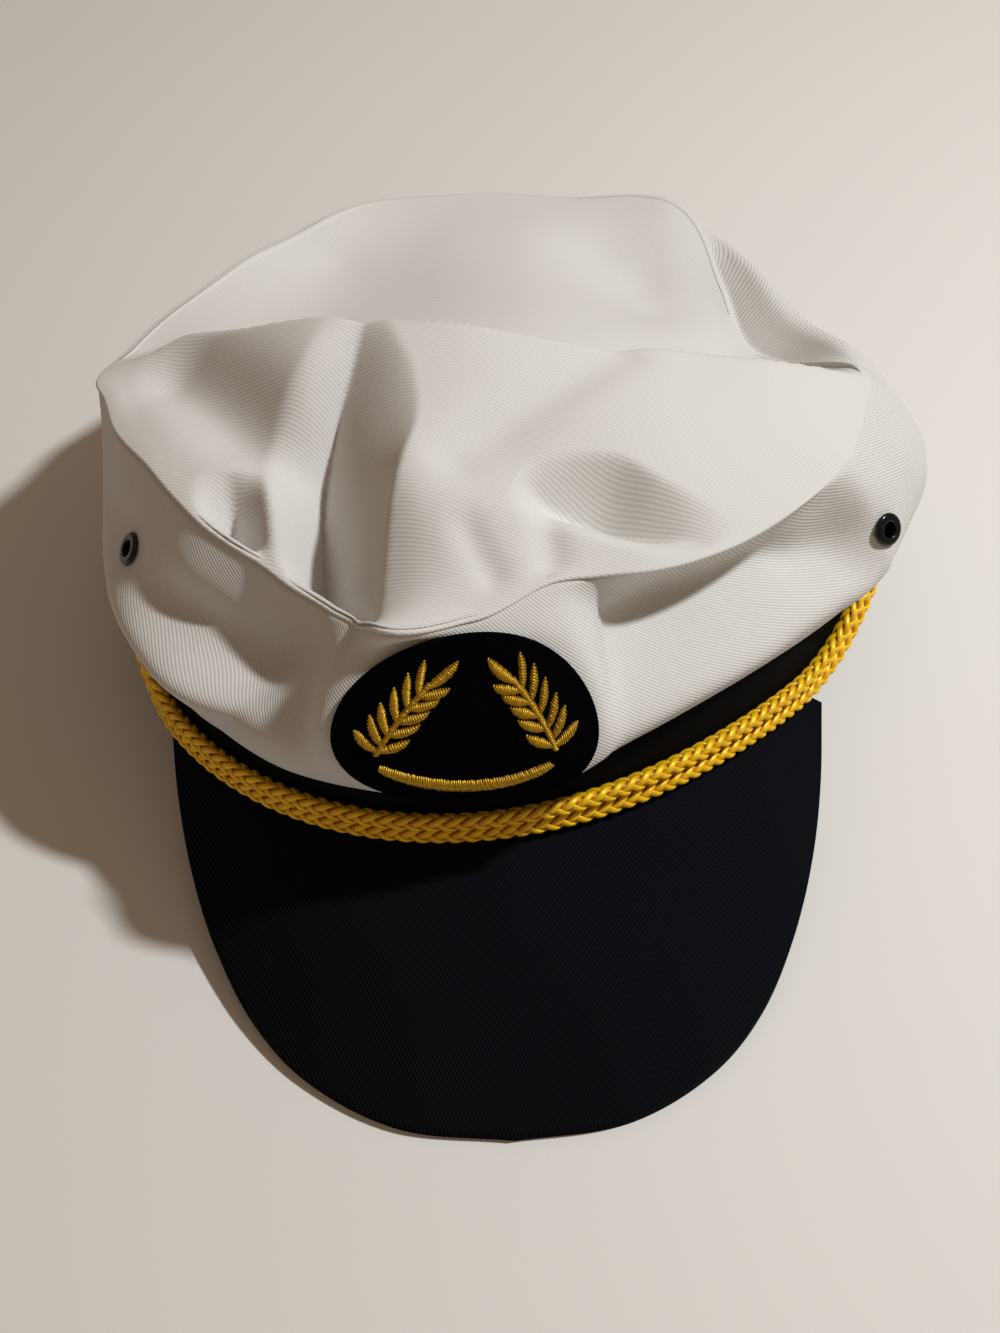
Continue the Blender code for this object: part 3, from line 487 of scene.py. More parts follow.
crownSections = roundTable((
    # angle, seam out, seam up, shoulder out, shoulder up, belly out past the band's face,
    # belly up over the band's top edge, sag below that edge, bow between seam and shoulder
    (-174, 92, 63, 96.5, 55.5, 5, 13, 0, 0),
    (-160, 89.5, 66.5, 95.5, 57.5, 3.5, 13, 0, 0),
    (-149, 84.3, 70.2, 92.5, 60, 2.5, 14, 0, 0),
    (-131, 81.4, 72.8, 88.5, 63, 2, 15, 0, 0),
    (-117, 82.2, 74.2, 88, 65.5, 2.5, 15.5, 0, 0),
    (-104, 87.3, 75, 91.5, 67.5, 3, 16, 0, 0),
    (-94, 92.6, 76.4, 94.6, 68.2, 3.4, 16, 0, 0),
    (-90, 95, 77, 95.4, 68.5, 3.6, 16, 0, 0),
    (-86, 92.7, 77.6, 94.9, 66.5, 4, 15, 0, 0),
    (-78, 90.6, 79, 94.2, 64, 5, 13, 0, 0),
    (-67, 86.4, 82, 93.8, 64, 7, 12, 1, 0.5),
    (-58, 84.9, 82, 96, 63.5, 8.5, 12.5, 2.5, 0),
    (-51, 83.8, 80.8, 92, 61.5, 8.5, 8, 3.5, 2.4),
    (-46, 82, 79, 89, 60, 8.3, 5, 4.2, 1.8),
    (-42, 80.3, 77.2, 88, 57.5, 7.5, 3, 5, 0),
    (-36, 80.1, 75.2, 88.5, 56, 6, 2, 5.4, 0),
    (-27.3, 81.9, 75.2, 90.5, 66, 5, 2, 6, 0),
    (-21.5, 85.9, 78.2, 95, 70.5, 5, 2, 6, 0),
    (-18.3, 91.7, 86, 96.5, 72.5, 5, 2.5, 6, 0),
    (-5, 85.3, 85.5, 93.2, 73, 4.5, 3.5, 6, 0),
    (7.5, 75.4, 86, 87.5, 73.5, 5, 3.5, 5, 0),
    (15.5, 75, 85.2, 75, 71, 4.5, 3.5, 2.5, 0),
    (24.5, 77.3, 84.6, 70.5, 68.5, 3.5, 4.5, 1, -1),
    (40, 79.4, 82.2, 72, 67, 3.5, 6, 0.3, -1),
    (50, 81, 80.9, 75, 65.5, 3.8, 7.5, 0.6, -0.5),
    (57, 82.6, 80, 79.5, 62, 5, 8, 1.2, -0.5),
    (63, 84.6, 79.3, 86, 61, 7.5, 9, 2, -1),
    (68, 86.3, 78.7, 95, 64, 8, 14, 2.6, 0.5),
    (76, 87.5, 77.8, 97, 69, 8.2, 18, 3, 0),
    (82, 88.7, 77.8, 98.5, 70, 8.8, 21.5, 2.4, 0),
    (88.3, 90.1, 78, 97, 69.8, 6.3, 23, 1.5, 0),
    (101, 82.3, 67, 88.5, 70.2, 1.5, 23, 0, 0),
    (112, 73.9, 60.5, 84.3, 66, -1, 19.5, 0, 0),
    (131, 82.8, 61.5, 90.8, 64, 1, 17, 0, 0),
    (148, 99.8, 65, 101.5, 59, 5.5, 15, 0, 0),
    (166, 93.5, 62.5, 97, 56, 6, 13, 0, 0),
))
topHeights = (
    # across, along (front is negative), up
    (-72, 7, 87), (-57, 1, 93), (-41, -3, 98), (-24, -7, 101), (-8, -9, 101),
    (10, -11, 99), (33, -11, 95), (47, -9, 91), (63, -6, 87), (78, -3, 82),
    (-17, -32, 99), (-20, -58, 94), (-44, -40, 93), (-62, -30, 87), (2, -45, 95),
    (14, -58, 91), (36, -45, 91), (60, -30, 86),
    (-44, 30, 70), (-15, 32, 73), (12, 30, 75), (44, 24, 70), (-40, 58, 66),
    (-10, 64, 68), (25, 62, 66), (40, 52, 63), (58, 22, 64),
)
ridgeLine = (
    # across, along, drop behind it, length of the drop
    (-95, 4, 0, 8), (-84, 6, 6, 8), (-75, 8, 10, 10), (-57, 1, 17, 15), (-24, -7, 21, 18),
    (10, -11, 19, 18), (47, -8, 16, 16), (78, -3, 11, 12), (90, -2, 0, 8),
)
topFolds = (
    # turn of the fold, then its rows: along it, crest, foot, depth, rise beyond the foot, softness
    (0, (  # the long pleat
        (-88, -26.5, -36, 6, 12, 1),
        (-76, -26.2, -38, 12, 12, 1),
        (-68, -25.6, -39.2, 17, 11, 1),
        (-58, -24.4, -39.8, 22, 11, 1),
        (-48, -22, -40.3, 23, 12, 1),
        (-37, -18.5, -40, 20.5, 13, 1.2),
        (-23, -19, -36.5, 14, 13, 1.4),
        (-13, -22.5, -33, 7, 11, 1.4),
        (-5, -25, -30.5, 1.5, 10, 1.4),
        (0, -26, -29, 0, 10, 1.4),
    )),
    (0, (  # the hooked pleat beside it
        (-68, -51.6, -58.5, 9, 9, 1),
        (-60, -51.4, -59.5, 13.5, 9, 1),
        (-53, -51.4, -60.2, 14, 9, 1),
        (-46, -52, -60.5, 10, 9, 1.1),
        (-38, -54, -60.5, 0, 8, 1.5),
    )),
    (62, (  # the pocket on the right
        (-76, -24, -33, 0, 9, 1.3),
        (-64, -25, -34, 4, 9, 1.3),
        (-54, -26.5, -36.5, 10.5, 10, 1.1),
        (-43, -27, -38.5, 14, 11, 1.1),
        (-35, -31.5, -41.5, 9, 10, 1.2),
        (-27, -38, -44, 0, 8, 1.5),
    )),
)
topDents = (
    # from across, along; to across, along; half width; depth
    (-74, -4, -50, -34, 10, 8),
    (27, -12, -10, -46, 7, 2.5),
    (8.5, -57, 10.5, -74, 4, 1.8),
    (-8, -64, -3, -74, 3.5, 1.5),
    (30, 62, 44, 44, 13, 2.5),
)
sideFolds = (
    # rows down the wall: share from seam to lip, crest angle, foot angle, depth, rise, softness
    ((0, -18.3, -30, 0, 12, 1.3), (0.25, -21, -31, 2.5, 12, 1.3),
     (0.5, -24, -34, 4.5, 12, 1.3), (0.75, -25.2, -36, 4, 12, 1.3),
     (1, -26.5, -38, 1, 12, 1.3)),
)
sideCreases = (
    # angle at the seam, angle at the band, half width in degrees, height
    (-18.3, -26.5, 4, 2.2),
    (8, 12.5, 4, 2.6),
    (68, 66, 2, 1.2),
    (97, 84, 5, 2.5),
    (-122, -128, 6, 2),
    (172, 166, 6, 2),
)
hemFold = (
    # from the lip to the band's top edge: out past its face, up over its edge, share of the sag
    (0.9, 0.9, 0.75),
    (0.5, 0.8, 0.0),
)


def foldDrop(side, along, rows):  # falls from the crest to the foot, then comes up again
    crest, foot, depth, rise, softness = np.moveaxis(readTable(rows, along), -1, 0)
    share = (crest - side) / (crest - foot)
    fall = np.clip(share, 0, 1) ** softness
    climb = (1 - np.clip((foot - side) / rise, 0, 1)) ** crown["climb"]
    return depth * np.where(share < 1, fall, climb)


def dentDepth(x, y, row):
    x0, y0, x1, y1, halfWidth, depth = row
    share = ((x - x0) * (x1 - x0) + (y - y0) * (y1 - y0)) / ((x1 - x0) ** 2 + (y1 - y0) ** 2)
    share = np.clip(share, 0, 1)
    distance = np.hypot(x - x0 - (x1 - x0) * share, y - y0 - (y1 - y0) * share)
    return depth * np.exp(-(distance / halfWidth) ** 2)


def ridgeDrop(x, y):
    line, drop, length = np.moveaxis(readTable(ridgeLine, x), -1, 0)
    share = np.clip((y - line) / length, 0, 1)
    return drop * (1 - (1 - share) ** crown["ridgeEdge"])


def plateKernel(spots, x, y):
    squares = (np.asarray(x)[..., None] - spots[:, 0]) ** 2 + (np.asarray(y)[..., None] - spots[:, 1]) ** 2
    return squares * np.log(squares + 1e-12)  # 0 at the spot itself


def bendPlate():  # a thin plate bent through the seam and the heights inside it
    seam = crownSections[2:-2]
    spots = np.vstack([topHeights, polar(seam[:, 0], seam[:, 1], seam[:, 2])])
    spots[:, 2] += ridgeDrop(spots[:, 0], spots[:, 1])
    count = len(spots)
    matrix = np.zeros((count + 3, count + 3))
    matrix[:count, :count] = plateKernel(spots, spots[:, 0], spots[:, 1])
    flat = np.column_stack([np.ones(count), spots[:, :2]])
    matrix[:count, count:], matrix[count:, :count] = flat, flat.T
    return spots, np.linalg.solve(matrix, np.concatenate([spots[:, 2], np.zeros(3)]))


plateSpots, plateWeights = bendPlate()


def topUp(x, y):  # height of the top panel over a spot
    x, y = np.asarray(x, float), np.asarray(y, float)
    up = plateKernel(plateSpots, x, y) @ plateWeights[:-3]
    up = up + plateWeights[-3] + plateWeights[-2] * x + plateWeights[-1] * y - ridgeDrop(x, y)
    rim = readTable(crownSections, np.degrees(np.arctan2(x, -y)))[..., 0]
    inside = ease((1 - np.hypot(x, y) / rim) / crown["foldEnd"])
    for turn, rows in topFolds:
        up = up - foldDrop(*spun(x, y, -turn), rows) * inside
    for row in topDents:
        up = up - dentDepth(x, y, row) * inside
    return up


def seamPoints(angles):
    points = polar(angles, readTable(crownSections, angles)[:, 0], 0.0)
    points[:, 2] = topUp(points[:, 0], points[:, 1])
    return points


def creaseOut(angle, share):
    push = 0.0
    for seamAngle, bandAngle, halfWidth, height in sideCreases:
        offset = (angle - seamAngle - (bandAngle - seamAngle) * share + 180) % 360 - 180
        crest = height * np.exp(-abs(offset) / halfWidth)
        push = push + crest * np.sin(np.pi * share) ** crown["creaseRound"]
    for rows in sideFolds:
        push = push - foldDrop(angle, share, rows)
    return push


def sideSection(angle, seam):  # (out, up) down the side wall's outer face, seam to lip
    _, _, shoulderOut, shoulderUp, bellyOut, bellyUp, sag, bow = readTable(crownSections, angle)
    seamOut = math.hypot(seam[0], seam[1])
    step = np.array([shoulderOut - seamOut, shoulderUp - seam[2]])
    fall = min(step[1] / np.linalg.norm(step), -crown["seamDip"])
    away = math.copysign(math.sqrt(1 - fall * fall), step[0])
    start = np.array([seamOut, seam[2]]) + np.array([away, fall]) * crown["seamStep"]
    halfway = (start + (shoulderOut, shoulderUp)) / 2 + (bow, 0)
    edge, top = float(bandOut(angle)), float(bandFoot(angle)) + band["height"]
    lip = (edge + crown["lipOut"] + sag / 2, top + crown["lipUp"] - sag)
    belly = (edge + bellyOut, top + bellyUp)
    path = smoothPath([start, halfway, (shoulderOut, shoulderUp), belly, lip], crown["sideSteps"])
    stretches = zip(crown["sideSteps"], crown["sideShares"], crown["sideShares"][1:])
    shares = [low + np.arange(count) / count * (high - low) for count, low, high in stretches]
    shares = np.concatenate([*shares, [1.0]])
    path[:, 0] += creaseOut(angle, shares)
    hold = badgeHold(angle, path[:, 1]) * ease(shares / crown["seamHold"])
    path[:, 0] += (badgeSeat(angle, path[:, 1]) - path[:, 0]) * hold
    return path, sag, edge, top


def wholeSection(angle, seam):  # the same, and on down inside the band
    path, sag, edge, top = sideSection(angle, seam)
    section = [tuple(spot) for spot in path]
    section += [(edge + out, top + up - share * sag) for out, up, share in hemFold]
    inside = edge - band["wall"] - gap
    section += [(edge - band["wall"] / 2, top + crown["hemRest"]), (inside, top + crown["hemRest"]),
                (inside, top - crown["hemTuck"])]
    return section


def makeCrownTop(finish):
    angles = roundAngles(crown["columns"])
    seam = seamPoints(angles)
    midX, midY = crown["topMiddle"]
    shares = (np.arange(crown["topRings"]) + 1) / crown["topRings"]
    x = midX + (seam[:, 0] - midX) * shares[:, None]
    y = midY + (seam[:, 1] - midY) * shares[:, None]
    rows = list(np.stack([x, y, topUp(x, y)], axis=-1))
    outward = polar(angles, 1.0, 0.0)
    for out, down in crown["rim"]:
        rows.append(seam + outward * out - np.array([0, 0, down]))
    rows = np.array(rows)
    centre = np.array([midX, midY, float(topUp(midX, midY))])
    flat = rows[:, :, :2] * mm
    mesh = gridMesh("crownTop", rows,
                    lambda i, j: flat[i, j % crown["columns"]] if i >= 0 else centre[:2] * mm,
                    loop=True, centre=centre, flip=True)
    return addWall(newPiece("crownTop", mesh, finish, "crown_top"))


def addWall(piece):
    wall = piece.modifiers.new("Wall", "SOLIDIFY")
    wall.thickness = crown["cloth"] * mm
    wall.offset = -1
    return piece


def makeCrownSide(finish):
    angles = roundAngles(crown["columns"])
    seam = seamPoints(angles)
    out, up = np.array([wholeSection(angle, spot) for angle, spot in zip(angles, seam)]).T
    rows = polar(angles, out, up)
    tuckIn, tuckUp = crown["tuck"]
    rows = np.concatenate([rows[:1] - polar(angles, tuckIn, -tuckUp), rows])
    around = distances(polar(angles, bandOut(angles), 0.0), closed=True) * mm
    rise = (rows[:, :, 2] - crown["weaveLean"] * np.hypot(rows[:, :, 0], rows[:, :, 1])) * mm
    mesh = gridMesh("crownSide", rows, lambda i, j: (around[j], rise[i, j % len(angles)]),
                    loop=True, flip=True)
    return addWall(newPiece("crownSide", mesh, finish, "crown_side"))


def sideOut(angle, up):
    path, *_ = sideSection(angle, seamPoints(np.array([angle]))[0])
    return float(np.interp(up, path[::-1, 1], path[::-1, 0]))


eyelet = {
    # piece, CAD node, angle, up
    "places": (("eyeletLeft", "eyelet_left", -63.0, 63.8), ("eyeletRight", "eyelet_right", 68.5, 60.3)),
    "flange": 4.0,  # radii
    "hole": 1.9,
    "barrel": 2.35,
    "cut": 2.7,  # of the hole in the cloth
    "cutLength": 12.0,
    "cutSides": 40,
    "seat": 0.45,  # the flange's underside over the cloth
    "rim": 0.9,  # from there to the lip's crest
    "lip": 0.45,  # radius of the rolled inner lip
    "edge": (0.8, 0.7),  # the flange's rounding, across and up
    "under": (0.05, 0.3),  # the flange's top under the lip's crest, its foot inside its edge
    "behind": 0.6,  # how far the barrel stands out behind the cloth
    "spread": (1.5, 2.0),  # degrees and millimetres round it over which the wall's slope is measured
    "steps": 56,
    "lipSteps": 6,
    "edgeSteps": 8,
}


def wallPlace(angle, up):  # a spot on the side wall and its outward direction
    def spot(a, u):
        return Vector(polar(a, sideOut(a, u), u))

    turn, rise = eyelet["spread"]
    across = spot(angle + turn, up) - spot(angle - turn, up)
    upward = spot(angle, up + rise) - spot(angle, up - rise)
    outward = across.cross(upward).normalized()
    return Matrix.Translation(spot(angle, up)) @ outward.to_track_quat("Z", "Y").to_matrix().to_4x4()


def makeEyelet(name, node, angle, up, finish):
    matrix = wallPlace(angle, up)
    flange, hole, barrel, seat, lip = (eyelet[key] for key in ("flange", "hole", "barrel", "seat", "lip"))
    back, crest = -crown["cloth"] - eyelet["behind"], seat + eyelet["rim"]
    (wide, high), (lower, inside) = eyelet["edge"], eyelet["under"]
    profile = [(hole, back), (hole, crest - lip)]
    profile += arc((hole + lip, crest - lip), (lip, lip), 180, 90, eyelet["lipSteps"])
    profile += arc((flange - wide, crest - lower - high), (wide, high), 90, 0, eyelet["edgeSteps"])
    profile += [(flange, seat), (flange - inside, seat), (barrel, seat), (barrel, back)]
    circle = arc((0, 0), (1, 1), 0, 360, eyelet["steps"])[:-1]
    rows = [[tuple(matrix @ Vector((radius * x, radius * y, rise))) for x, y in circle]
            for radius, rise in profile]
    return newPiece(name, gridMesh(name, rows, loop=True, ring=True), finish, node)


def cutEyeletHoles(side):
    cutters = []
    for name, _, angle, up in eyelet["places"]:
        shape = bmesh.new()
        bmesh.ops.create_cone(shape, cap_ends=True, segments=eyelet["cutSides"], radius1=eyelet["cut"],
                              radius2=eyelet["cut"], depth=eyelet["cutLength"])
        mesh = bpy.data.meshes.new(name + "Hole")
        shape.transform(wallPlace(angle, up))
        for vert in shape.verts:
            vert.co = Vector(place(vert.co))
        shape.to_mesh(mesh)
        shape.free()
        cutter = bpy.data.objects.new(name + "Hole", mesh)
        scene.collection.objects.link(cutter)
        cut = side.modifiers.new("Hole", "BOOLEAN")
        cut.operation = "DIFFERENCE"
        cut.object = cutter
        cutters.append(cutter)
    applyModifiers(side)
    for cutter in cutters:
        bpy.data.objects.remove(cutter)


peak = {
    "thickness": 3.0,
    "seat": 3.3,
    "corners": (-53.0, 55.5),
    "arch": 3.0,
    "archPower": 3,
    "turn": 0.3,
    "middle": (0.4, -105.0),
    "across": 200,
    "run": 44,
    "edgeRadius": 1.1,
    "edgeSteps": 4,
    "edgeAngle": 50.0,
}
peakOutline = (
    # share from corner to tip, half width, forward of the band's middle, up
    (0.00, 80, 55.5, 18.6),
    (0.14, 77.5, 76, 13.6),
    (0.28, 73.6, 94.5, 9.4),
    (0.42, 67.4, 113, 6.4),
    (0.56, 57.9, 131.8, 4.2),
    (0.70, 45, 146.5, 3.2),
    (0.85, 24.9, 158, 3.04),
    (1.00, 0, 161.3, 3.02),
)


def makePeak(finish):
    steps, runs = peak["across"], peak["run"]
    across = 2 * np.arange(steps + 1) / steps - 1
    first, last = peak["corners"]
    angles = first + (last - first) * (across + 1) / 2
    root = polar(angles, bandOut(angles) + gap, bandFoot(angles) + peak["seat"])
    halfWidth, forward, up = readTable(peakOutline, 1 - abs(across)).T
    midX, midY = peak["middle"]
    x, y = spun(np.sign(across) * halfWidth, -forward - midY, peak["turn"])
    edge = np.stack([x + midX, y + midY, up], axis=-1)
    rows = []
    for run in range(runs + 1):
        share = run / runs
        row = root + (edge - root) * share
        row[:, 2] += peak["arch"] * math.sin(math.pi * share) * (1 - abs(across) ** peak["archPower"])
        rows.append(row)
    flat = np.array(rows)[:, :, :2] * mm
    mesh = gridMesh("peakSheet", rows, lambda i, j: flat[i, j])

    def thicken(shape):
        under = bmesh.ops.extrude_face_region(shape, geom=shape.faces[:])["geom"]
        lower = [item for item in under if isinstance(item, bmesh.types.BMVert)]
        bmesh.ops.translate(shape, verts=lower, vec=(0, 0, -peak["thickness"] * mm))

    reshape(mesh, thicken)
    mesh.shade_smooth()
    piece = newPiece("peakSheet", mesh, finish, "peak")
    roll = piece.modifiers.new("Rolled edge", "BEVEL")
    roll.width = peak["edgeRadius"] * mm
    roll.segments = peak["edgeSteps"]
    roll.limit_method = "ANGLE"
    roll.angle_limit = math.radians(peak["edgeAngle"])
    applyModifiers(piece)
    return piece


cord = {
    "diameter": 4.0,
    "pitch": 4.4,  # from one strand of cord to the next
    "stand": 0.8,  # the lower one stands out this far, growing from the first angle to the second
    "standing": (-10.0, 30.0),
    "rise": 20.0,
    "climb": ((50, 68), (51, 74)),  # angles where it starts to climb and has climbed rise, left and right
    "span": (-75.0, 80.0),
    "samples": 801,
    "endBelow": 3.5,  # it ends this far below the band's top edge
    "lay": 15.0,  # length of one turn of a braid strand
    "strands": 4,  # each way round
    "strandWidth": 1.6,
    "strandThick": 1.0,
    "weave": 0.36,  # how far a strand moves in and out as it crosses others
    "step": 0.42,
}


def cordRoute(level):  # level 0 is the lower strand and 1 the upper
    angle = np.linspace(*cord["span"], cord["samples"])
    left, right = np.array(cord["climb"])[:, :, None]
    start, end = np.where(angle < 0, left, right)
    climb = np.maximum(0, (abs(angle) - start) / (end - start)) ** 2
    up = bandFoot(angle) + peak["seat"] + gap + cord["diameter"] / 2 + cord["rise"] * climb
    middle, height = (angle[:-1] + angle[1:]) / 2, (up[:-1] + up[1:]) / 2
    slope = np.diff(up) / (np.radians(np.diff(angle)) * bandOut(middle))
    lift = cord["pitch"] * level / np.hypot(1, slope)
    middle = middle - np.degrees(lift * slope / bandOut(middle))
    height = height + lift
    keep = height < bandFoot(middle) + band["height"] - cord["endBelow"]
    middle, height = middle[keep], height[keep]
    low, high = cord["standing"]
    stand = cord["stand"] * (1 - level) * ease((middle - low) / (high - low))
    return polar(middle, bandOut(middle) + gap + cord["diameter"] / 2 + stand, height)


def startTree(name, sizes, whole):  # its inputs are a curve, named sizes, a whole number, a material
    tree = bpy.data.node_groups.new(name, "GeometryNodeTree")
    tree.interface.new_socket("Geometry", in_out="OUTPUT", socket_type="NodeSocketGeometry")
    numbers = [*((size, "Float") for size in sizes), (whole, "Int")]
    for label, kind in (("Geometry", "Geometry"), *numbers, ("Material", "Material")):
        tree.interface.new_socket(label, in_out="INPUT", socket_type="NodeSocket" + kind)
    graph = Graph(tree)
    return graph, graph.node("NodeGroupInput")


def endTree(graph, given, path, profile):  # its output is a smooth tube along the path, as a plain mesh
    tube = graph.node("GeometryNodeCurveToMesh", {}, {
        "Curve": path, "Profile Curve": profile, "Fill Caps": True})
    real = graph.node("GeometryNodeRealizeInstances", {}, {"Geometry": tube})
    smooth = graph.node("GeometryNodeSetShadeSmooth", {}, {"Geometry": real})
    graph.end("NodeGroupOutput", graph.node("GeometryNodeSetMaterial", {}, {
        "Geometry": smooth, "Material": given.out("Material")}))
    return graph.tree


def strandTree():  # one path in, a tubular braid of strands out
    sizes = ("Lay", "Radius", "Weave", "Strand Width", "Strand Thickness")
    graph, given = startTree("braidedCord", sizes, "Strands")
    copies = graph.node("GeometryNodeDuplicateElements", {"domain": "SPLINE"},
                        {"Geometry": given, "Amount": given.out("Strands") * 2})
    index = copies.out("Duplicate Index")
    side = index.math("MODULO", 2.0) * 2.0 - 1.0  # strands go round one way or the other
    number = (index / 2.0).math("FLOOR")
    length = graph.node("GeometryNodeSplineParameter").out("Length")
    wave = length * (2 * math.pi) / given.out("Lay")
    turn = side * wave + number * (2 * math.pi) / given.out("Strands")
    # over two strands, then under two, each strand one crossing after its neighbour: 1 over, -1 under
    phase = wave * given.out("Strands") / 2.0 - side * (math.pi / 4) + number * math.pi
    lift = phase.math("COSINE") * side
    reach = given.out("Radius") + given.out("Weave") * lift
    normal = graph.node("GeometryNodeInputNormal")
    tangent = graph.node("GeometryNodeInputTangent")
    third = graph.vector("CROSS_PRODUCT", (tangent, normal))
    first = graph.vector("SCALE", {0: normal, "Scale": reach * turn.math("COSINE")})
    second = graph.vector("SCALE", {0: third, "Scale": reach * turn.math("SINE")})
    offset = graph.vector("ADD", (first, second))
    outward = graph.vector("NORMALIZE", (offset,))
    kept = graph.node("GeometryNodeCaptureAttribute", {"domain": "POINT"}, {"Geometry": copies})
    kept.socket.node.capture_items.new("VECTOR", "Outward")
    graph.tree.links.new(outward.socket, kept.socket.node.inputs["Outward"])
    # the same over and under is kept for the painted shade and light of the strands
    marked = graph.node("GeometryNodeStoreNamedAttribute", {"data_type": "FLOAT", "domain": "POINT"}, {
        "Geometry": kept, "Name": "lift", "Value": lift})
    moved = graph.node("GeometryNodeSetPosition", {}, {"Geometry": marked, "Offset": offset})
    facing = graph.node("GeometryNodeSetCurveNormal", {"mode": "FREE"}, {
        "Curve": moved, "Normal": kept.out("Outward")})
    ring = graph.node("GeometryNodeCurvePrimitiveCircle", {"mode": "RADIUS"}, {
        "Resolution": 8, "Radius": 0.5})
    squash = graph.node("ShaderNodeCombineXYZ", {}, {
        "X": given.out("Strand Thickness"), "Y": given.out("Strand Width"), "Z": 1.0})
    section = graph.node("GeometryNodeTransform", {}, {"Geometry": ring, "Scale": squash})
    return endTree(graph, given, facing, section)


def runTree(name, data, tree, values):  # a tree evaluated on a curve, left as a plain mesh
    start = bpy.data.objects.new(name + "Path", data)
    scene.collection.objects.link(start)
    modifier = start.modifiers.new("Make", "NODES")
    modifier.node_group = tree
    for item in tree.interface.items_tree:
        if item.in_out == "INPUT" and item.name in values:
            modifier[item.identifier] = values[item.name]
    mesh = evaluated(start)
    bpy.data.objects.remove(start)
    mesh.name = name
    return mesh


def pathData(name, paths):  # curve data from paths of spots and radii
    data = bpy.data.curves.new(name, "CURVE")
    data.dimensions = "3D"
    data.twist_mode = "Z_UP"
    for spots, radii in paths:
        spline = data.splines.new("POLY")
        spline.points.add(len(spots) - 1)
        spline.points.foreach_set("co", np.column_stack([spots, np.ones(len(spots))]).ravel())
        spline.points.foreach_set("radius", radii)
    return data


def makeCord(name, node, level, tree, finish):
    route, length = evenly(cordRoute(level), cord["step"])
    print(name, "is", round(length), "mm long")
    mesh = runTree(name, pathData(name, [(place(route), np.ones(len(route)))]), tree, {
        "Lay": cord["lay"] * mm,
        "Radius": (cord["diameter"] - cord["strandThick"] - cord["weave"]) / 2 * mm,
        "Weave": cord["weave"] * mm,
        "Strand Width": cord["strandWidth"] * mm,
        "Strand Thickness": cord["strandThick"] * mm,
        "Strands": cord["strands"],
        "Material": finish.material,
    })
    return newPiece(name, mesh, finish, node)


def oval(share, inset):  # a ring of the badge's outline
    turns = 2 * np.pi * np.arange(badge["steps"]) / badge["steps"]
    across = (badge["halfWidth"] - inset) * np.cos(turns) * share
    return spun(across, (badge["halfHeight"] - inset) * np.sin(turns) * share, badge["ovalTurn"])


def makeBadge(finish):
    thick, radius = badge["thickness"], badge["thickness"] / 2
    shares = (np.arange(badge["rings"]) + 1) / badge["rings"]
    rings = [(share, radius * share, thick) for share in shares]  # share, inset, height
    edge = arc((radius, radius), (-radius, radius), 90, -90, badge["edgeSteps"])
    rings += [(1.0, inset, height) for inset, height in edge[1:]]
    rings += [(share, radius, 0.0) for share in badge["backRings"]]
    flats = np.array([np.stack(oval(share, inset), axis=-1) for share, inset, _ in rings])
    rows = [badgePoint(*flat.T, height) for flat, (_, _, height) in zip(flats, rings)]
    mesh = gridMesh("feltBadge", rows,
                    lambda i, j: flats[i, j % badge["steps"]] * mm if i >= 0 else (0.0, 0.0),
                    loop=True, centre=badgePoint(0.0, 0.0, thick), flip=True)
    reshape(mesh, lambda shape: bmesh.ops.holes_fill(
        shape, edges=[edge for edge in shape.edges if edge.is_boundary], sides=0))
    return newPiece("feltBadge", mesh, finish, "badge")


# satin stitches of the laurels and the arc
stitch = {
    "pitch": 0.46,  # from thread to thread
    "thread": 0.53,  # a thread's width
    "height": 1.0,  # of a full leaf over the felt
    "fullWidth": 1.8,
    "slant": 24.0,
    "jag": 0.22,  # how unevenly the threads end, as a share of their length
    "seed": 7,
    "sunk": 0.12,
    "stem": ((-17.9, -3.4), (-9.0, 9.9), 0.9, 1.0),  # foot, tip, bow, width
    "leaves": (
        # share up the stem, direction of the outer leaf and of the inner one if there is one
        (0.04, 146, 24),
        (0.13, 122, None),
        (0.27, 114, 20),
        (0.46, 107, 18),
        (0.65, 100, 15),
        (0.83, 88, 11),
    ),
    "tip": (0.96, 36, 1.2),  # share up the stem, direction, size against the other leaves
    "leafLength": 6.2,
    "leafWidth": 1.62,
    "leafBow": 0.35,
    "leafSteps": 16,
    "stemSteps": 24,
    "barSteps": 50,
    # share along a leaf, half its width there
    "leafShape": ((0.0, 0.14), (0.12, 0.26), (0.3, 0.42), (0.62, 0.5), (0.9, 0.26), (1.0, 0.04)),
    "bar": (40.0, 29.6, 25.0, 2.8),  # radius, its centre's height, half angle, width
    "barEnd": 0.35,  # its ends against its full width
}


def stemSpot(share):
    foot, tip, bow, _ = stitch["stem"]
    line = np.subtract(tip, foot)
    side = np.array([-line[1], line[0]]) / np.hypot(*line)
    return foot + line * share + side * bow * bulge(share)


def leafField(share, direction, size=1.0):  # a leaf's middle line and its half widths
    keys = np.linspace(0, 1, stitch["leafSteps"])
    ahead, side = spun(1.0, 0.0, direction), spun(0.0, 1.0, direction)
    bow = stitch["leafBow"] * (-1 if ahead[0] > 0.5 else 1)  # on both sides it curls to the stem's tip
    line = np.outer(keys * stitch["leafLength"], ahead) + np.outer(bulge(keys) * bow, side)
    half = readTable(stitch["leafShape"], keys)[:, 0] * stitch["leafWidth"]
    return stemSpot(share) + size * line, size * half


def branchFields():
    keys = np.linspace(0, 1, stitch["stemSteps"])
    fields = [(np.array([stemSpot(key) for key in keys]), np.full(len(keys), stitch["stem"][3] / 2))]
    for share, *directions in stitch["leaves"]:
        fields += [leafField(share, direction) for direction in directions if direction is not None]
    return [*fields, leafField(*stitch["tip"])]


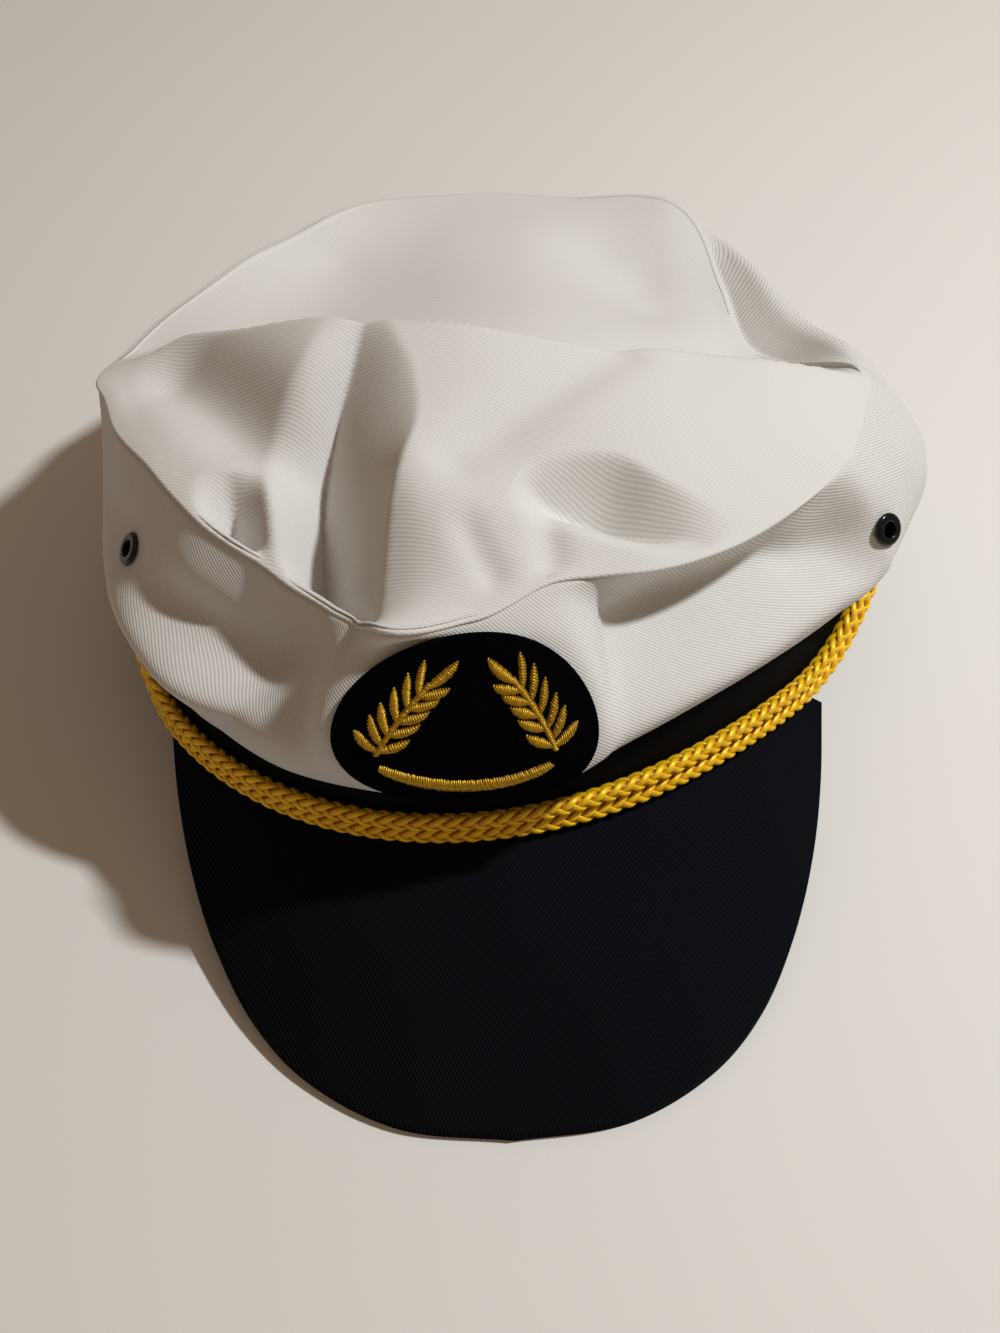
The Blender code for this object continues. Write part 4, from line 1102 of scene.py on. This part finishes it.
def barFields():
    radius, middle, half, width = stitch["bar"]
    turn = np.linspace(-half, half, stitch["barSteps"])
    line = polar(turn, radius, middle)[:, :2] + (0, middle)
    end = stitch["barEnd"]
    return [(line, width / 2 * (end + (1 - end) * np.sqrt(np.cos(np.radians(turn) * 90 / half))))]


def satinTree():  # middle lines in, threads laid across them out
    sizes = ("Pitch", "Thread", "Height", "Full Width", "Slant", "Jag")
    graph, given = startTree("satinStitch", sizes, "Seed")
    spots = graph.node("GeometryNodeCurveToPoints", {"mode": "LENGTH"}, {
        "Curve": given, "Length": given.out("Pitch")})
    halfWidth = graph.node("GeometryNodeInputRadius")

    def chance(middle, spread, extra):  # a number for each thread, by chance
        return graph.node("FunctionNodeRandomValue", {"data_type": "FLOAT"}, {
            2: middle - spread, 3: middle + spread, "Seed": given.out("Seed") + extra}, 1)

    heading = graph.node("ShaderNodeSeparateXYZ", {}, (spots.out("Tangent"),))
    across = heading.out("Y").math("ARCTAN2", heading) + math.pi / 2
    turn = graph.node("ShaderNodeCombineXYZ", {}, {"Z": across + given.out("Slant") + chance(0.0, 0.06, 1.0)})
    reach = halfWidth * (given.out("Jag") * chance(0.0, 0.5, 2.0) + 1.0)
    rise = given.out("Height") * (halfWidth * 2.0 / given.out("Full Width")).math("MINIMUM", 1.0) ** 0.5
    size = graph.node("ShaderNodeCombineXYZ", {}, (reach, 1.0, rise * chance(1.0, 0.07, 3.0)))
    arch = graph.node("GeometryNodeCurveArc", {"mode": "RADIUS"}, {
        "Resolution": 8, "Radius": 1.0, "Start Angle": 0.0, "Sweep Angle": math.pi})
    upright = graph.node("GeometryNodeTransform", {}, {"Geometry": arch, "Rotation": (math.pi / 2, 0.0, 0.0)})
    laid = graph.node("GeometryNodeInstanceOnPoints", {}, {
        "Points": spots, "Instance": upright, "Rotation": turn, "Scale": size})
    loose = graph.node("GeometryNodeRealizeInstances", {}, {"Geometry": laid})
    plain = graph.node("GeometryNodeSetCurveRadius", {}, {"Curve": loose, "Radius": 1.0})
    ring = graph.node("GeometryNodeCurvePrimitiveCircle", {"mode": "RADIUS"}, {
        "Resolution": 6, "Radius": given.out("Thread") / 2.0})
    return endTree(graph, given, plain, ring)


def makeStitching(name, node, fields, tree, finish, mirror=1):
    paths = [(np.column_stack([mirror * line[:, 0], line[:, 1], np.zeros(len(line))]) * mm, widths * mm)
             for line, widths in fields]
    mesh = runTree(name, pathData(name, paths), tree, {
        "Pitch": stitch["pitch"] * mm,
        "Thread": stitch["thread"] * mm,
        "Height": stitch["height"] * mm,
        "Full Width": stitch["fullWidth"] * mm,
        "Slant": math.radians(stitch["slant"]) * mirror,
        "Jag": stitch["jag"],
        "Seed": stitch["seed"],
        "Material": finish.material,
    })
    flat = np.empty(len(mesh.vertices) * 3)
    mesh.vertices.foreach_get("co", flat)
    x, y, high = (flat.reshape(-1, 3) / mm).T
    bent = place(badgePoint(x, y, badge["thickness"] - stitch["sunk"] + high))
    mesh.vertices.foreach_set("co", bent.ravel())
    mesh.update()
    return newPiece(name, mesh, finish, node)


# what every twill shares
weave = {
    "driftScale": 90.0,
    "fuzzScale": 2600.0,
    "cloudScale": 26.0,
    "crossing": 0.6,  # how far the threads lean against the ribs
    "ribRound": (0.7, 0.8),  # in height and in tone
    # shares of the rib, of its threads and of the fuzz
    "relief": (0.8, 0.2, 0.25),
    # in the tone the rib and thread shares paint light on the ribs and shade in the grooves and between
    # threads, the fuzz share is random
    "tone": (0.75, 0.15, 0.2),
    "cloudStart": 0.35,
}


def twillFinish(name, pale, dim, shade, look):
    # pale is the raised rib with painted light on it, dim the groove between two ribs with painted shade in
    # it
    cloth = Finish(name, {"Roughness": look["roughness"], "Specular IOR Level": look["gloss"],
                          "Sheen Weight": look["sheen"]})
    uv = cloth.node("ShaderNodeUVMap", {"uv_map": "Cloth"})
    parts = cloth.node("ShaderNodeSeparateXYZ", {}, (uv,))
    along, across = spun(parts / mm, parts.out("Y") / mm, -look["slant"])
    across = across + cloth.noise(uv, weave["driftScale"], 2.0) * look["drift"]
    rib = (across * (2 * math.pi / look["pitch"])).math("SINE") * 0.5 + 0.5
    lean = along + across * weave["crossing"]
    thread = (lean * (2 * math.pi / look["thread"])).math("SINE") * 0.5 + 0.5
    fuzz = cloth.noise(uv, weave["fuzzScale"], 3.0, 0.7)
    cloud = cloth.noise(uv, weave["cloudScale"], 4.0, 0.6)

    def blend(power, shares):
        ribShare, threadShare, fuzzShare = shares
        return rib ** power * ribShare + rib * thread * threadShare + fuzz * fuzzShare

    # painted light on the ribs and painted shade in the grooves
    tone = cloth.mixColour(blend(weave["ribRound"][1], weave["tone"]).math("MINIMUM", 1.0), dim, pale)
    cloth.feed("Base Color", cloth.mixColour((cloud - weave["cloudStart"]) * look["cloud"], tone, shade))
    cloth.bump(blend(weave["ribRound"][0], weave["relief"]), look["depth"] * mm)
    return cloth


def feltFinish():
    look = {"deep": (0.0001, 0.0001, 0.0002), "pale": (0.0030, 0.0032, 0.0050),
            "roughness": 0.95, "gloss": 0.01, "fibreScale": 1500.0, "fibreShare": 0.8,
            "lintScale": 420.0, "lintFrom": 0.74, "lintShare": 0.1, "pile": 0.0004}
    felt = Finish("blackFelt", {"Roughness": look["roughness"], "Specular IOR Level": look["gloss"]})
    fibre = felt.noise(felt.spot(), look["fibreScale"], 4.0, 0.7)
    lint = felt.noise(felt.spot(), look["lintScale"], 2.0, 0.6).math("GREATER_THAN", look["lintFrom"])
    felt.feed("Base Color", felt.mixColour(
        fibre * look["fibreShare"] + lint * look["lintShare"], look["deep"], look["pale"]))
    felt.bump(fibre, look["pile"], 0.8)
    return felt


def threadFinish(name, deep, bright, look):
    thread = Finish(name, {"Roughness": look["roughness"], "Metallic": look["metallic"],
                           "Specular IOR Level": look["gloss"]})
    spot = thread.spot()
    fibre = thread.noise(spot, look["fibreScale"], 3.0, 0.6)
    share = fibre * 0.5 + thread.noise(spot, look["cloudScale"], 2.0) * 0.5
    if look["lift"]:  # painted shade where a strand passes under another, painted light where it lies over it
        lift = thread.node("ShaderNodeAttribute", {"attribute_name": "lift"}, {}, "Fac")
        share = share + lift * look["lift"]
    thread.feed("Base Color", thread.mixColour(share, deep, bright))
    thread.bump(fibre, look["relief"], 0.6)
    return thread


def enamelFinish():
    look = {"deep": (0.002, 0.002, 0.0025), "worn": (0.005, 0.005, 0.005), "coat": 0.15, "gloss": 0.3,
            "wearScale": 700.0, "roughness": (0.1, 0.2)}
    enamel = Finish("blackEnamel", {"Coat Weight": look["coat"], "Specular IOR Level": look["gloss"]})
    wear = enamel.noise(enamel.spot(), look["wearScale"], 3.0)
    enamel.feed("Base Color", enamel.mixColour(wear, look["deep"], look["worn"]))
    least, more = look["roughness"]
    enamel.feed("Roughness", wear * more + least)
    return enamel


scene.view_settings.view_transform = "Standard"
makeCamera()
makeLight()
makeWorld()
makeFloor()
print("camera, light and floor made")

whiteLook = {"slant": -18.0, "pitch": 0.78, "thread": 0.55, "drift": 0.5, "depth": 0.04, "cloud": 0.35,
             "roughness": 0.9, "gloss": 0.25, "sheen": 0.05}
bandLook = {"slant": -45.0, "pitch": 0.6, "thread": 0.5, "drift": 0.4, "depth": 0.08, "cloud": 0.5,
            "roughness": 0.95, "gloss": 0.04, "sheen": 0.0}
whiteShade = (0.62, 0.60, 0.565)
# in each twill the first colour is the ribs' painted light and the second the grooves' painted shade
whiteTop = twillFinish("whiteTwillTop", (0.72, 0.705, 0.68), (0.60, 0.585, 0.56), whiteShade, whiteLook)
whiteSide = twillFinish("whiteTwillSide", (0.73, 0.715, 0.69), (0.50, 0.485, 0.46), whiteShade,
                        {**whiteLook, "slant": -42.0, "depth": 0.07})
blackBand = twillFinish("blackBandCloth", (0.0062, 0.0056, 0.0056), (0.0016, 0.0014, 0.0014),
                        (0.0032, 0.0029, 0.0029), bandLook)
blackPeak = twillFinish("blackPeakTwill", (0.0088, 0.0086, 0.0130), (0.0007, 0.0007, 0.0011),
                        (0.0026, 0.0026, 0.0038), {**bandLook, "slant": -62.0, "pitch": 0.75, "thread": 0.6,
                                                   "depth": 0.10, "roughness": 0.9, "gloss": 0.03})
# lift sets how strongly the cord's strands get painted shade where they pass under and painted light where
# they lie over
goldLook = {"roughness": 0.38, "metallic": 0.15, "gloss": 0.45, "fibreScale": 1800.0, "cloudScale": 160.0,
            "relief": 0.00012, "lift": 0.45}
goldCord = threadFinish("goldenCord", (0.42, 0.14, 0.001), (1.0, 0.62, 0.004), goldLook)
goldStitch = threadFinish("goldStitch", (0.13, 0.06, 0.001), (0.80, 0.47, 0.02), {
    **goldLook, "roughness": 0.36, "metallic": 0.5, "gloss": 0.4, "cloudScale": 900.0, "lift": 0.0})
felt = feltFinish()
enamel = enamelFinish()

makeBand(blackBand)
crownTop = makeCrownTop(whiteTop)
applyModifiers(crownTop)
crownSide = makeCrownSide(whiteSide)
cutEyeletHoles(crownSide)
print("crown and band made")

makePeak(blackPeak)
for name, node, angle, up in eyelet["places"]:
    makeEyelet(name, node, angle, up, enamel)
braid = strandTree()
makeCord("cordLower", "cord_lower", 0, braid, goldCord)
makeCord("cordUpper", "cord_upper", 1, braid, goldCord)
print("peak, eyelets and cord made")

makeBadge(felt)
satin = satinTree()
makeStitching("laurelLeft", "laurel_left", branchFields(), satin, goldStitch)
makeStitching("laurelRight", "laurel_right", branchFields(), satin, goldStitch, mirror=-1)
makeStitching("stitchedArc", "badge_bar", barFields(), satin, goldStitch)
print("badge made")

for piece, node in pieces:
    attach(piece, "root")
    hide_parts(node)
for piece in (crownTop, crownSide):
    print(piece.name, "area of both faces", round(sum(face.area for face in piece.data.polygons), 4))
print("pieces declared")
